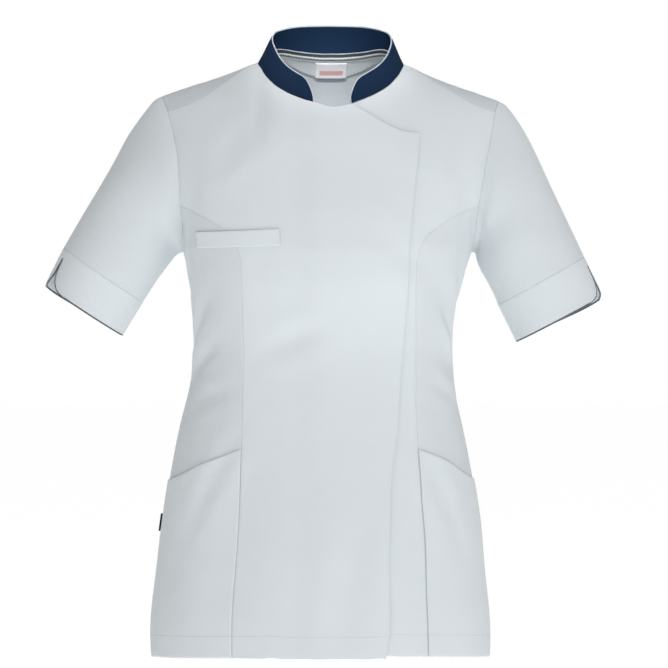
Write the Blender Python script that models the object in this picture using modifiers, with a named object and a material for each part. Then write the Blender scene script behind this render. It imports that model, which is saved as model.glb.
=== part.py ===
"""Short-sleeved work tunic: stand collar, front closed to one side, princess seams, slit cuffs.

The garment holds the form that it has when worn. It faces -Y, the wearer's right is at -X, and the
origin lies between the shoulders at the height of the neck points. Sizes here are in millimetres and
become metres when a mesh is made.
"""

import math

import bpy
import numpy as np

MM = 0.001

# Walls and gaps
CLOTH = 1.2
CUFF_WALL = 1.8
COLLAR_WALL = 2.2
TAPE_WALL = 1.0
SEAM_GAP = 0.3
PANEL_TRIM = 0.2
PIPING_GAP = 0.5
LAYER_GAP = 0.5
TAPE_GAP = 1.0
OVERLAP_GAP = 1.6
WELT_GAP = 1.1
COLLAR_LIFT = 1.1
COLLAR_BOW = 1.5
SLEEVE_START = 1.1

FRONT = 1
BACK = -1
SIDES = {"right": -1, "left": 1}

# The torso's level sections, from the hem up. Across and middle place the section's centre, half_width
# reaches the sides, and front and back are its depths from that centre.
TORSO_COLUMNS = ("height", "across", "half_width", "middle", "front", "back")
TORSO_SECTIONS = (
    (-720, -11.8, 204.0, 6, 133, 131),
    (-664, -12.3, 201.3, 6, 131, 130),
    (-606, -12.0, 195.0, 7, 127, 130),
    (-548, -11.0, 189.0, 8, 121, 129),
    (-491, -11.2, 180.0, 8, 114, 124),
    (-433, -11.2, 168.5, 7, 107, 114),
    (-404, -10.8, 161.4, 6, 104, 108),
    (-376, -9.5, 157.2, 5, 102, 102),
    (-340, -9.0, 154.8, 4, 103, 98),
    (-300, -8.4, 156.4, 3, 110, 99),
    (-258, -5.4, 163.6, 2, 119, 103),
    (-239, -4.2, 168.6, 2, 121, 105),
    (-226, -3.6, 172.4, 2, 122, 107),
    (-205, -3.2, 177.0, 3, 121, 109),
    (-186, -2.8, 183.0, 3, 119, 111),
    (-166, -2.2, 190.0, 4, 116, 112),
    (-130, -1.6, 203.0, 6, 109, 112),
    (-100, -1.0, 210.0, 7, 104, 110),
    (-60, -0.5, 214.0, 8, 99, 104),
    (40, 0.0, 215.0, 8, 98, 100),
)
FULLNESS = 2.3

# The ridge along the top of the shoulders. The wearer's left shoulder sits a little lower.
RIDGE_COLUMNS = ("out", "right", "left")
SHOULDER_RIDGE = (
    (0, 30.0, 30.0),
    (38, 27.0, 26.8),
    (67, 17.0, 16.2),
    (85, 1.8, 0.2),
    (98, -3.2, -5.5),
    (116, -10.6, -14.4),
    (143, -20.2, -25.2),
    (175, -30.2, -36.2),
    (201, -39.6, -45.2),
    (230, -50.0, -56.0),
)
SHOULDER_FALL = 130
SHOULDER_ROUND = 1.7
FIRST_HEIGHT = -100.0
HEIGHT_ROUNDS = 9
ANGLE_STEP = 0.05
DROP_STEP = 0.002

# Soft folds of the body: angle, height, lean in degrees, half length, half width and depth of trough.
FRONT_FOLDS = (
    (-66, -300, 62, 55, 15, 2.4),
    (64, -288, -60, 60, 15, 2.6),
    (-71, -372, 74, 48, 16, 2.2),
    (70, -360, -78, 50, 17, 2.4),
    (-30, -560, 6, 120, 26, 2.4),
    (38, -590, -5, 110, 24, 2.6),
    (52, -150, -32, 52, 14, 2.2),
    (-52, -148, 30, 50, 14, 2.0),
)
BACK_FOLDS = (
    (-58, -330, 70, 60, 17, 2.8),
    (55, -318, -68, 62, 18, 2.8),
    (-20, -350, 84, 70, 18, 2.2),
    (24, -385, -82, 62, 17, 2.4),
    (-34, -585, 8, 115, 28, 3.0),
    (30, -600, -7, 105, 26, 2.8),
    (-44, -180, 26, 58, 16, 2.4),
    (45, -172, -28, 56, 16, 2.4),
)
MM_PER_DEGREE = 3.0
RIDGE_AWAY = 1.8
RIDGE_SHARE = 0.45
SIDE_HOLD = 1.5
FRONT_HOLD = 0.5

# The armholes, from the ridge down to the underarm, by angle from the middle of the sheet.
ARMHOLE_FRONT = (
    (-60, 61.0, 63.5),
    (-83, 58.1, 62.2),
    (-107, 56.6, 61.2),
    (-130, 57.6, 61.4),
    (-152, 61.0, 64.0),
    (-172, 65.5, 68.0),
    (-190, 70.8, 73.0),
    (-206, 76.5, 78.0),
    (-218, 83.0, 83.5),
)
ARMHOLE_RIDGE = (66.0, 66.4)
ARMHOLE_BACK = (
    (-58, 61.5),
    (-82, 58.5),
    (-108, 57.5),
    (-136, 58.5),
    (-162, 62.0),
    (-186, 68.0),
    (-206, 76.0),
    (-219, 83.5),
)
UNDERARM = -226
SHOULDER_SEAM_KNOT = 0
PRINCESS_KNOT = 5
PRINCESS_LOW_KNOT = 4
YOKE_KNOT = 2

# The shoulder seams, from the armhole to the neck: out from the middle, height.
SHOULDER_SEAM = {
    "right": ((167.6, -50.7), (149.9, -42.1), (126.2, -25.6), (108.5, -12.4), (96.5, -4.6)),
    "left": ((171.0, -50.4), (150.5, -38.6), (128.0, -25.4), (110.0, -14.2), (97.0, -6.6)),
}

# The princess seams, from the hem to just under the armhole: across, height.
PRINCESS = {
    "right": (
        (-115.1, -704.5),
        (-114.0, -636.5),
        (-110.0, -585),
        (-106.6, -520),
        (-104.2, -440),
        (-102.9, -373),
        (-103.2, -310),
        (-104.4, -262),
        (-107.3, -229),
        (-114.3, -213),
        (-127.5, -200.5),
        (-145.0, -189.0),
        (-163.0, -179.5),
    ),
    "left": (
        (114.7, -703.5),
        (113.6, -648.0),
        (112.3, -585),
        (107.3, -520),
        (102.8, -450),
        (101.0, -373),
        (100.6, -310),
        (101.0, -262),
        (103.5, -229),
        (110.5, -213),
        (123.0, -200.5),
        (140.5, -189.5),
        (158.0, -180.0),
    ),
}

# The neckline from the front ends of the collar to the middle of the back: across and height on the
# wearer's right, the same on the left, and the sheet.
NECKLINE = (
    (-20.6, -52.7, 25.4, -53.9, FRONT),
    (-28.8, -50.0, 33.5, -50.9, FRONT),
    (-39.5, -45.8, 43.5, -46.6, FRONT),
    (-53.8, -38.9, 56.2, -40.2, FRONT),
    (-64.5, -32.0, 67.5, -32.8, FRONT),
    (-74.3, -22.1, 76.7, -22.9, FRONT),
    (-81.6, -10.6, 83.6, -12.6, FRONT),
    (-85.0, 1.0, 86.0, -1.4, FRONT),
    (-79.5, 6.2, 80.5, 4.6, BACK),
    (-64.0, 13.0, 66.0, 12.0, BACK),
    (-37.0, 11.0, 39.5, 10.6, BACK),
    (1.5, 9.0, 1.5, 9.0, BACK),
)
NECK_POINT = 7
FRONT_MIDDLE = (3.0, -59.3)

# The top edge of the collar, row for row with the neckline: across and height on the right, the same
# on the left, and depth.
COLLAR_TOP = (
    (-21.6, -46.5, 24.9, -47.0, -76),
    (-24.0, -36.5, 27.4, -36.0, -70),
    (-30.5, -23.5, 33.2, -24.2, -61),
    (-41.5, -15.6, 43.6, -16.6, -52),
    (-51.7, -7.8, 54.2, -9.6, -43),
    (-60.5, 2.6, 63.4, -0.6, -31),
    (-66.6, 14.2, 69.6, 9.6, -17),
    (-70.2, 25.2, 73.4, 21.6, -2),
    (-69.2, 33.6, 72.6, 31.4, 13),
    (-61.5, 39.8, 65.0, 38.6, 28),
    (-38.0, 45.6, 41.0, 45.2, 43),
    (1.5, 47.2, 1.5, 47.2, 50),
)

# The free edge of the upper front, its slanted top, and the hidden edge of the lower front.
FREE_EDGE = (
    (64.2, -704.6),
    (67.4, -682),
    (67.8, -600),
    (69.4, -531),
    (71.4, -490),
    (76.4, -455),
    (80.6, -391),
    (85.3, -332),
    (89.6, -274),
    (93.4, -204),
    (98.6, -151),
    (102.8, -115),
    (104.4, -89.2),
)
FREE_TOP = ((104.4, -89.2), (85.5, -87.6), (67.8, -80.6), (49.0, -69.6), (25.4, -55.4))
HIDDEN_EDGE = ((0.0, -701.4), (4.0, -560), (8.0, -400), (11.0, -240), (14.0, -57.6))
# The guides run from the neck points to the hem and keep the columns of the fronts from crossing.
GUIDE = {
    "right": ((-76.0, -704.4), (-70.0, -400.0), (-78.0, -200.0), (-86.5, -80.0), (-88.0, -30.0)),
    "left": ((72.0, -702.0), (76.0, -400.0), (80.0, -200.0), (88.5, -80.0), (89.5, -32.0)),
}
OVERLAP_FROM = -45
OVERLAP_TO = -6

# The side seams and their vents
VENT_TOP = -650
HEM_SIDE = -710
HEM_BACK = -712
VENT_ANGLE = 76
YOKE_SEAM_HEIGHT = -105

# Pockets and labels
POCKET_MOUTH = {
    "right": ((-120.6, -466.4), (-139.8, -474.4), (-154.3, -481.0), (-168.0, -488.6)),
    "left": ((118.0, -466.0), (133.0, -473.6), (143.0, -480.0), (153.0, -488.0)),
}
POCKET_TOP = -460.4
POCKET_SIDE = -500
POCKET_INSET = 1.0
WELT_TOP = ((-158.0, -204.6), (-108.0, -204.2), (-60.0, -202.4))
WELT_BOTTOM = ((-156.0, -223.6), (-108.0, -223.4), (-58.6, -222.4))
FLAG_HEIGHTS = (-562, -541)
FLAG_ANGLES = (-85.6, -89.6)
FLAG_LIFTS = (4.4, 3.1)
FACING_FROM = 4.5
FACING_DEPTHS = (8.0, 16.0, 22.0, 25.5, 27.0, 25.5, 22.0, 16.0, 8.0)
LABEL_DEPTHS = (6.0, 24.0)
TAPE_UP = 6.5
TAPE_DOWN = 2.0
TAPE_PIPING_RADIUS = 0.8
TAPE_PIPING_IN = 0.5
COLLAR_PIPING_RADIUS = 1.1

# Sleeve rings from the armhole to the cuff: the outer and inner points that the front view shows, and
# the ring's middle and half depth from front to back.
SLEEVE_COLUMNS = ("outer", "outer_height", "inner", "inner_height", "middle", "half_depth")
SLEEVE_RINGS = {
    "right": (
        (-201.0, -40.0, -176.0, -226.0, 10, 63),
        (-211.0, -46.0, -180.5, -228.0, 10, 64),
        (-226.0, -65.0, -187.5, -232.5, 9, 64),
        (-242.0, -88.0, -196.0, -241.0, 8, 62),
        (-258.0, -115.5, -205.0, -254.0, 7, 60),
        (-276.5, -146.5, -213.5, -267.0, 6, 57),
        (-296.0, -180.5, -220.0, -277.5, 5, 54),
        (-320.0, -222.5, -226.0, -286.5, 4, 51),
    ),
    "left": (
        (199.8, -45.4, 168.8, -226.0, 10, 63),
        (209.5, -52.0, 174.0, -228.5, 10, 64),
        (223.0, -70.0, 176.5, -237.0, 9, 64),
        (236.5, -92.0, 182.0, -248.0, 8, 62),
        (250.5, -118.0, 187.5, -258.5, 7, 60),
        (266.5, -152.0, 192.5, -269.0, 6, 57),
        (284.0, -190.0, 197.5, -279.0, 5, 54),
        (304.0, -233.0, 202.0, -290.0, 4, 51),
    ),
}
CUFF_HEM = {
    "right": (-341.2, -265.0, -249.4, -325.0, 3, 50),
    "left": (325.6, -278.6, 223.0, -332.4, 3, 50),
}
SLEEVE_FADE = 5.5
SLEEVE_FOLDS = {
    "right": ((112, 0.45, 24, 0.16, 3.2), (68, 0.72, 20, 0.13, 2.4), (250, 0.5, 26, 0.16, 3.0)),
    "left": ((118, 0.42, 24, 0.16, 3.2), (60, 0.66, 20, 0.13, 2.6), (244, 0.52, 26, 0.16, 3.0)),
}
FOLD_WIDTH = 1.4
FOLD_LENGTH = 3.0
CUFF_HEIGHT = 48
SLIT_TURN = {"right": 27, "left": 14}
SLIT_WIDTH = 4.6
SLIT_TOP = 10
SLIT_SPREAD = 5
CORNER_RADIUS = 22
EDGING_RADIUS = 0.8

# How finely the cloth is divided
DRAWN_STEPS = 8
SIDE_ROWS_LOW = 7
SIDE_ROWS_HIGH = 10
SIDE_COLUMNS = 6
ARM_UPPER = 5
ARM_BACK = 7
ARM_YOKE = 7
SHOULDER_COLUMNS = 5
FREE_TOP_COLUMNS = 4
NECK_GAP_COLUMNS = 3
HIDDEN_COLUMNS = 1
WELT_COLUMNS = 6
WELT_ROWS = 2
NECK_STEPS = 2
CUFF_COLUMNS = 26
CUFF_ARC_ROWS = 4
COLLAR_ROWS = 3

WHITE = (0.68, 0.72, 0.75)
PALE_GREY = (0.50, 0.54, 0.57)
NAVY = (0.012, 0.028, 0.062)
CHARCOAL = (0.045, 0.052, 0.062)
LABEL_WHITE = (0.80, 0.82, 0.83)


def eased(knots, values, at):
    """A smooth curve through the values at the rising knots, level past both ends."""
    knots = np.asarray(knots, float)
    values = np.asarray(values, float)
    slope = np.gradient(values, knots)
    at = np.clip(at, knots[0], knots[-1])
    low = np.clip(np.searchsorted(knots, at) - 1, 0, len(knots) - 2)
    span = knots[low + 1] - knots[low]
    part = (at - knots[low]) / span
    rest = 1 - part
    return (
        values[low] * (1 + 2 * part) * rest**2
        + values[low + 1] * (3 - 2 * part) * part**2
        + slope[low] * span * part * rest**2
        - slope[low + 1] * span * part**2 * rest
    )


def column(table, names, name):
    """One named column of a table."""
    return np.array([row[names.index(name)] for row in table], float)


def torso_size(name, height):
    """A size of the torso's section at this height."""
    heights = column(TORSO_SECTIONS, TORSO_COLUMNS, "height")
    return eased(heights, column(TORSO_SECTIONS, TORSO_COLUMNS, name), height)


def ridge_height(across):
    """Height of the shoulder ridge at a distance across the body."""
    out = column(SHOULDER_RIDGE, RIDGE_COLUMNS, "out")
    right = eased(out, column(SHOULDER_RIDGE, RIDGE_COLUMNS, "right"), np.abs(across))
    left = eased(out, column(SHOULDER_RIDGE, RIDGE_COLUMNS, "left"), np.abs(across))
    return np.where(across < 0, right, left)


def fold_depth(angle, height, folds):
    """How far the soft folds move the cloth, inwards in a trough and outwards beside it."""
    moved = np.zeros_like(angle)
    for at_angle, at_height, lean, half_length, half_width, depth in folds:
        across = (angle - at_angle) * MM_PER_DEGREE
        up = height - at_height
        turn = math.radians(lean)
        along = up * math.cos(turn) + across * math.sin(turn)
        beside = across * math.cos(turn) - up * math.sin(turn)
        trough = np.exp(-((beside / half_width) ** 2))
        ridges = sum(np.exp(-((beside / half_width + away) ** 2)) for away in (-RIDGE_AWAY, RIDGE_AWAY))
        moved += depth * np.exp(-((along / half_length) ** 2)) * (RIDGE_SHARE * ridges - trough)
    return moved


def torso(places):
    """Points of the torso's wall at (angle, drop).

    Angle runs from the middle of the sheet to 90 degrees at the side seam, minus to the wearer's right.
    Drop runs down from the shoulder ridge, plus at the front and minus at the back.
    """
    places = np.asarray(places, float)
    angle, drop = places[..., 0], places[..., 1]
    turn = np.radians(angle)
    reach = (np.abs(np.sin(turn)) ** FULLNESS + np.abs(np.cos(turn)) ** FULLNESS) ** (-1 / FULLNESS)
    out = np.sin(turn) * reach
    deep = np.cos(turn) * reach
    fall = np.abs(drop)
    fall = np.where(fall < 1, fall**SHOULDER_ROUND, 1 + (fall - 1) * SHOULDER_ROUND)
    height = np.full_like(angle, FIRST_HEIGHT)
    for _ in range(HEIGHT_ROUNDS):
        across = torso_size("across", height) + torso_size("half_width", height) * out
        height = ridge_height(across) - SHOULDER_FALL * fall
    left_over = np.clip(1 - fall, 0, 1)
    rounded = (1 - left_over**SHOULDER_ROUND) ** (1 / SHOULDER_ROUND)
    front = drop >= 0
    depth = np.where(front, -torso_size("front", height), torso_size("back", height))
    moved = np.where(front, fold_depth(angle, height, FRONT_FOLDS), fold_depth(angle, height, BACK_FOLDS))
    facing = np.sign(depth) * deep * np.abs(deep) ** FRONT_HOLD
    sideways = out * np.abs(out) ** SIDE_HOLD
    x = across + moved * sideways
    y = torso_size("middle", height) + depth * deep * rounded + moved * facing
    return np.stack([x, y, height], axis=-1)


def torso_outwards(places):
    """The direction that faces away from the wearer at each place."""
    places = np.asarray(places, float)
    step_angle = np.array([ANGLE_STEP, 0.0])
    step_drop = np.array([0.0, DROP_STEP])
    along = torso(places + step_angle) - torso(places - step_angle)
    down = torso(places + step_drop) - torso(places - step_drop)
    normal = np.cross(down, along)
    return normal / np.linalg.norm(normal, axis=-1, keepdims=True)


def drop_of(across, height):
    """How far down from the ridge a height is, on the scale that torso() reads."""
    fall = np.maximum((ridge_height(across) - height) / SHOULDER_FALL, 0)
    return np.where(fall < 1, fall ** (1 / SHOULDER_ROUND), 1 + (fall - 1) / SHOULDER_ROUND)


def at_across(across, height, sheet=FRONT):
    """The place on a sheet at a distance across and a height."""
    across = np.asarray(across, float)
    share = (across - torso_size("across", height)) / torso_size("half_width", height)
    share = np.clip(share, -0.99999, 0.99999)
    rest = (1 - np.abs(share) ** FULLNESS) ** (1 / FULLNESS)
    return (float(np.degrees(np.arctan2(share, rest))), float(sheet * drop_of(across, height)))


def at_angle(angle, height, sheet=FRONT):
    """The place on a sheet at an angle and a height."""
    turn = math.radians(angle)
    reach = (abs(math.sin(turn)) ** FULLNESS + abs(math.cos(turn)) ** FULLNESS) ** (-1 / FULLNESS)
    across = torso_size("across", height) + torso_size("half_width", height) * math.sin(turn) * reach
    return (angle, float(sheet * drop_of(across, height)))


def run_length(points):
    """Length along a line of points, from its first point to each."""
    steps = np.linalg.norm(np.diff(points, axis=0), axis=-1)
    return np.concatenate([[0.0], np.cumsum(steps)])


class Seam:
    """A smooth line on the torso through knots of (angle, drop)."""

    FINE = 900

    def __init__(self, knots):
        self.knots = np.array(knots, float)
        self.at = run_length(torso(self.knots))
        self.fine = np.linspace(0, self.at[-1], self.FINE)
        self.path = self.read(self.fine)
        self.length = run_length(torso(self.path))

    def read(self, at):
        return np.column_stack([eased(self.at, self.knots[:, part], at) for part in (0, 1)])

    def even(self, count, first=0, last=-1):
        """Evenly spaced places between two of the knots."""
        ends = np.interp(self.at[[first, last]], self.fine, self.length)
        wanted = np.linspace(ends[0], ends[1], count + 1)
        return self.read(np.interp(wanted, self.length, self.fine))

    def by_knot(self, first, last, each=1):
        """Places at the knots from one to another, each span divided evenly."""
        return self.at_index(np.linspace(first, last, abs(last - first) * each + 1))

    def at_index(self, index):
        return self.read(np.interp(index, np.arange(len(self.knots)), self.at))


def joined(*edges):
    """Edges that follow each other, as one edge."""
    return np.concatenate([edges[0]] + [edge[1:] for edge in edges[1:]])


def drawn(knots, sheet=FRONT):
    """A seam drawn smoothly through points of (across, height)."""
    knots = np.array(knots, float)
    at = run_length(knots)
    fine = np.linspace(0, at[-1], DRAWN_STEPS * (len(knots) - 1) + 1)
    return Seam([at_across(*point, sheet) for point in zip(*(eased(at, knots[:, k], fine) for k in (0, 1)))])


def level(places, sheet=FRONT):
    """A seam between places whose height changes evenly with the angle."""
    places = np.array(places, float)
    heights = torso(places)[:, 2]
    angles = places[:, 0]
    order = np.linspace(0, len(places) - 1, DRAWN_STEPS * (len(places) - 1) + 1)
    index = np.arange(len(places))
    return Seam([at_angle(np.interp(i, index, angles), np.interp(i, index, heights), sheet) for i in order])


def shares(first, second):
    """The mean share of the way along two opposite edges at each of their places."""
    lengths = [run_length(torso(edge)) for edge in (first, second)]
    return sum(length / length[-1] for length in lengths) / 2


def patch(bottom, top, left, right):
    """Places that fill the space between four edges."""
    u = shares(bottom, top)[None, :, None]
    v = shares(left, right)[:, None, None]
    between = (1 - v) * bottom[None] + v * top[None] + (1 - u) * left[:, None] + u * right[:, None]
    corners = (1 - v) * ((1 - u) * bottom[0] + u * bottom[-1]) + v * ((1 - u) * top[0] + u * top[-1])
    return between - corners


def grid_normals(points, closed=False):
    """The normal of a grid of points: the way round from its columns' direction to its rows'."""
    up = np.gradient(points, axis=0)
    if closed:
        along = np.roll(points, -1, axis=1) - np.roll(points, 1, axis=1)
    else:
        along = np.gradient(points, axis=1)
    normal = np.cross(along, up)
    return normal / np.linalg.norm(normal, axis=-1, keepdims=True)


def inset_loop(loop, normals, distance):
    """A closed line moved inwards across the surface that it bounds, with its corners kept square."""
    steps = np.roll(loop, -1, axis=0) - loop
    across = np.cross(normals + np.roll(normals, -1, axis=0), steps)
    across /= np.linalg.norm(across, axis=-1, keepdims=True)
    before = np.roll(across, 1, axis=0)
    spread = 1 + np.sum(across * before, axis=-1, keepdims=True)
    return loop + distance * (across + before) / np.maximum(spread, 0.25)


def outline_order(rows, columns):
    """Rows and columns of a grid's outline, starting along its first row."""
    order = [(0, c) for c in range(columns)]
    order += [(r, columns - 1) for r in range(1, rows)]
    order += [(rows - 1, c) for c in range(columns - 2, -1, -1)]
    order += [(r, 0) for r in range(rows - 2, 0, -1)]
    return zip(*order)


def panel(places, lift=None, inset=PANEL_TRIM):
    """The points of a piece of the body, moved out by its lift, with its edges drawn in at the seams."""
    outwards = torso_outwards(places)
    points = torso(places)
    if lift is not None:
        points = points + outwards * np.broadcast_to(lift, points.shape[:2])[..., None]
    rows_of, columns_of = outline_order(*points.shape[:2])
    facing = np.sign(np.sum(grid_normals(points) * outwards))
    normals = facing * outwards[rows_of, columns_of]
    points[rows_of, columns_of] = inset_loop(points[rows_of, columns_of], normals, inset)
    return points


def finish(name, colour, roughness):
    """A cloth finish."""
    material = bpy.data.materials.new(name)
    material.use_nodes = True
    shader = material.node_tree.nodes["Principled BSDF"]
    shader.inputs["Base Color"].default_value = (*colour, 1)
    shader.inputs["Roughness"].default_value = roughness
    shader.inputs["Metallic"].default_value = 0
    return material


def new_object(name, data, colour, roughness):
    obj = bpy.data.objects.new(name, data)
    data.materials.append(finish(name, colour, roughness))
    bpy.data.collections["work_tunic"].objects.link(obj)
    return obj


def cloth(name, points, wall, colour, roughness=0.85, closed=False, open_from=None):
    """A wall of cloth: an open grid of faces with a Solidify modifier.

    A closed grid joins its last column to its first, down to the row open_from where a slit begins.
    """
    rows, columns = points.shape[:2]
    faces = []
    for row in range(rows - 1):
        for this in range(columns):
            after = (this + 1) % columns
            slit = open_from is not None and row >= open_from
            if after == 0 and (not closed or slit):
                continue
            low, high = row * columns, (row + 1) * columns
            faces.append((low + this, low + after, high + after, high + this))
    mesh = bpy.data.meshes.new(name)
    mesh.from_pydata((points.reshape(-1, 3) * MM).tolist(), [], faces)
    mesh.shade_smooth()
    obj = new_object(name, mesh, colour, roughness)
    solid = obj.modifiers.new("wall", "SOLIDIFY")
    solid.thickness = wall * MM
    solid.offset = 0
    return obj


def piping(name, points, radius, colour, closed=False):
    """A thin corded edge: a poly curve with a round bevel."""
    curve = bpy.data.curves.new(name, "CURVE")
    curve.dimensions = "3D"
    curve.bevel_depth = radius * MM
    curve.bevel_resolution = 1
    curve.use_fill_caps = not closed
    spline = curve.splines.new("POLY")
    spline.points.add(len(points) - 1)
    for point, place in zip(spline.points, points):
        point.co = (*(place * MM), 1)
    spline.use_cyclic_u = closed
    return new_object(name, curve, colour, 0.7)


def armhole_seam(side):
    """One armhole as a line from the underarm up the front, over the ridge and down the back."""
    sign = SIDES[side]
    pick = 1 if side == "right" else 2
    front = [at_angle(sign * row[pick], row[0]) for row in ARMHOLE_FRONT]
    back = [at_angle(sign * row[1], row[0], BACK) for row in ARMHOLE_BACK]
    ridge = (sign * ARMHOLE_RIDGE[pick - 1], 0.0)
    low_front = at_angle(sign * 90, UNDERARM)
    low_back = at_angle(sign * 90, UNDERARM, BACK)
    return Seam([low_front] + front[::-1] + [ridge] + back + [low_back])


def neckline_seam():
    """The whole neckline, from the front right end round the back to the front left end."""
    right = [at_across(across, height, sheet) for across, height, *rest, sheet in NECKLINE]
    left = [at_across(across, height, sheet) for *rest, across, height, sheet in NECKLINE]
    return Seam(right + left[-2::-1])


def collar_top_line():
    """Knots of the collar's top edge, in the order of the neckline."""
    right = [(across, depth, height) for across, height, *rest, depth in COLLAR_TOP]
    left = [(across, depth, height) for *rest, across, height, depth in COLLAR_TOP]
    return np.array(right + left[-2::-1], float)


class Tunic:
    """The seams that the pieces share, each divided once, so that neighbours meet point to point."""

    def __init__(self):
        front_count = len(ARMHOLE_FRONT)
        self.neckline = neckline_seam()
        self.neck_right = NECK_POINT
        self.neck_left = len(self.neckline.knots) - 1 - NECK_POINT
        self.arm_lower = {}
        self.arm_upper = {}
        self.arm_yoke = {}
        self.arm_back = {}
        self.princess_low = {}
        self.princess_high = {}
        self.side_front = {}
        self.side_back = {}
        self.mouth = {}
        self.shoulder = {}
        for side in SIDES:
            armhole = armhole_seam(side)
            junction = front_count - PRINCESS_KNOT
            shoulder = front_count - SHOULDER_SEAM_KNOT
            yoke = front_count + 2 + YOKE_KNOT
            last = len(armhole.knots) - 1
            self.arm_lower[side] = armhole.even(SIDE_COLUMNS, 0, junction)
            self.arm_upper[side] = armhole.even(ARM_UPPER, junction, shoulder)
            self.arm_yoke[side] = armhole.even(ARM_YOKE, yoke, shoulder)
            self.arm_back[side] = armhole.even(ARM_BACK, last, yoke)
            self.divide_front(side, armhole.knots[junction])
            self.divide_shoulder(side, armhole.knots[shoulder])

    def divide_front(self, side, junction):
        """The princess seam, the side seam and the pocket's mouth between them."""
        sign = SIDES[side]
        knots = [at_across(across, height) for across, height in PRINCESS[side]]
        low = PRINCESS_LOW_KNOT
        across, heights = zip(*PRINCESS[side])
        mouth_inner = at_across(np.interp(POCKET_TOP, heights, across), POCKET_TOP)
        seam = Seam(knots[:low] + [mouth_inner] + knots[low:] + [tuple(junction)])
        self.princess_low[side] = seam.even(SIDE_ROWS_LOW, 0, low)
        self.princess_high[side] = seam.even(SIDE_ROWS_HIGH, low, -1)
        heights = np.linspace(UNDERARM, POCKET_SIDE, SIDE_ROWS_HIGH + 1)[::-1]
        high = np.array([at_angle(sign * 90, height) for height in heights])
        low_heights = np.linspace(HEM_SIDE, POCKET_SIDE, SIDE_ROWS_LOW + 1)
        turned = 90 - (90 - VENT_ANGLE) * np.clip((VENT_TOP - low_heights) / (VENT_TOP - HEM_SIDE), 0, 1)
        low_part = np.array([at_angle(sign * a, h) for a, h in zip(turned, low_heights)])
        self.side_front[side] = (low_part, high)
        back = [at_angle(sign * 90, h, BACK) for h in low_heights]
        back += [at_angle(sign * 90, h, BACK) for h in heights[1:]]
        self.side_back[side] = np.array(back)
        mouth = [mouth_inner] + [at_across(a, h) for a, h in POCKET_MOUTH[side]] + [tuple(high[0])]
        self.mouth[side] = Seam(mouth).even(SIDE_COLUMNS)

    def guide(self, side, count):
        """The line from the hem to a neck point that the columns of a front follow."""
        neck = self.neckline.knots[self.neck_right if side == "right" else self.neck_left]
        line = drawn(GUIDE[side])
        return Seam([tuple(place) for place in line.knots] + [tuple(neck)]).even(count)

    def divide_shoulder(self, side, corner):
        """The shoulder seam, from the armhole to the neck point."""
        sign = SIDES[side]
        neck = self.neckline.knots[self.neck_right if side == "right" else self.neck_left]
        middle = [at_across(sign * out, height) for out, height in SHOULDER_SEAM[side]]
        self.shoulder[side] = Seam([tuple(corner)] + middle + [tuple(neck)]).even(SHOULDER_COLUMNS)


def front_side(tunic, side):
    """The places of one front side panel: those below the pocket's mouth, then those above it."""
    low_part, high = tunic.side_front[side]
    hem_inner = tunic.princess_low[side][0]
    hem = level([low_part[0], hem_inner]).even(SIDE_COLUMNS)
    mouth = tunic.mouth[side][::-1]
    top = tunic.arm_lower[side]
    edges = [(hem, mouth, low_part, tunic.princess_low[side])]
    edges.append((mouth, top, high, tunic.princess_high[side]))
    if side == "left":
        edges = [(bottom[::-1], above[::-1], inner, outer) for bottom, above, outer, inner in edges]
    low, upper = (patch(*four) for four in edges)
    return low, upper


def front_right(tunic):
    """The upper front, from the wearer's right across to its free edge."""
    neck = tunic.neckline.by_knot(NECK_POINT, 0)
    gap = drawn([NECKLINE[0][:2], FRONT_MIDDLE, FREE_TOP[-1]]).even(NECK_GAP_COLUMNS)
    free_top = drawn(FREE_TOP).even(FREE_TOP_COLUMNS)[::-1]
    neck_to_edge = joined(neck, gap, free_top)
    left = joined(tunic.princess_low["right"], tunic.princess_high["right"], tunic.arm_upper["right"])
    guide = tunic.guide("right", len(left) - 1)
    right = drawn(FREE_EDGE).even(len(left) - 1)
    hem = drawn([PRINCESS["right"][0], GUIDE["right"][0]]).even(SHOULDER_COLUMNS)
    hem_to_edge = drawn([GUIDE["right"][0], FREE_EDGE[0]]).even(len(neck_to_edge) - 1)
    under_shoulder = patch(hem, tunic.shoulder["right"], left, guide)
    under_neck = patch(hem_to_edge, neck_to_edge, guide, right)
    return np.concatenate([under_shoulder, under_neck[:, 1:]], axis=1)


def front_left(tunic):
    """The lower front, from its hidden edge to the wearer's left."""
    last = len(tunic.neckline.knots) - 1
    neck = tunic.neckline.by_knot(last, tunic.neck_left)
    start = drawn([HIDDEN_EDGE[-1], NECKLINE[0][2:4]]).even(HIDDEN_COLUMNS)
    edge_to_neck = joined(start, neck)
    right = joined(tunic.princess_low["left"], tunic.princess_high["left"], tunic.arm_upper["left"])
    guide = tunic.guide("left", len(right) - 1)
    left = drawn(HIDDEN_EDGE).even(len(right) - 1)
    hem = drawn([GUIDE["left"][0], PRINCESS["left"][0]]).even(SHOULDER_COLUMNS)
    edge_to_hem = drawn([HIDDEN_EDGE[0], GUIDE["left"][0]]).even(len(edge_to_neck) - 1)
    under_neck = patch(edge_to_hem, edge_to_neck, left, guide)
    under_shoulder = patch(hem, tunic.shoulder["left"][::-1], guide, right)
    return np.concatenate([under_neck, under_shoulder[:, 1:]], axis=1)


def yoke_seam(tunic):
    """The seam between the back and the yoke."""
    middle = at_across(0, YOKE_SEAM_HEIGHT, BACK)
    return level([tunic.arm_yoke["right"][0], middle, tunic.arm_yoke["left"][0]], BACK)


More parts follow.
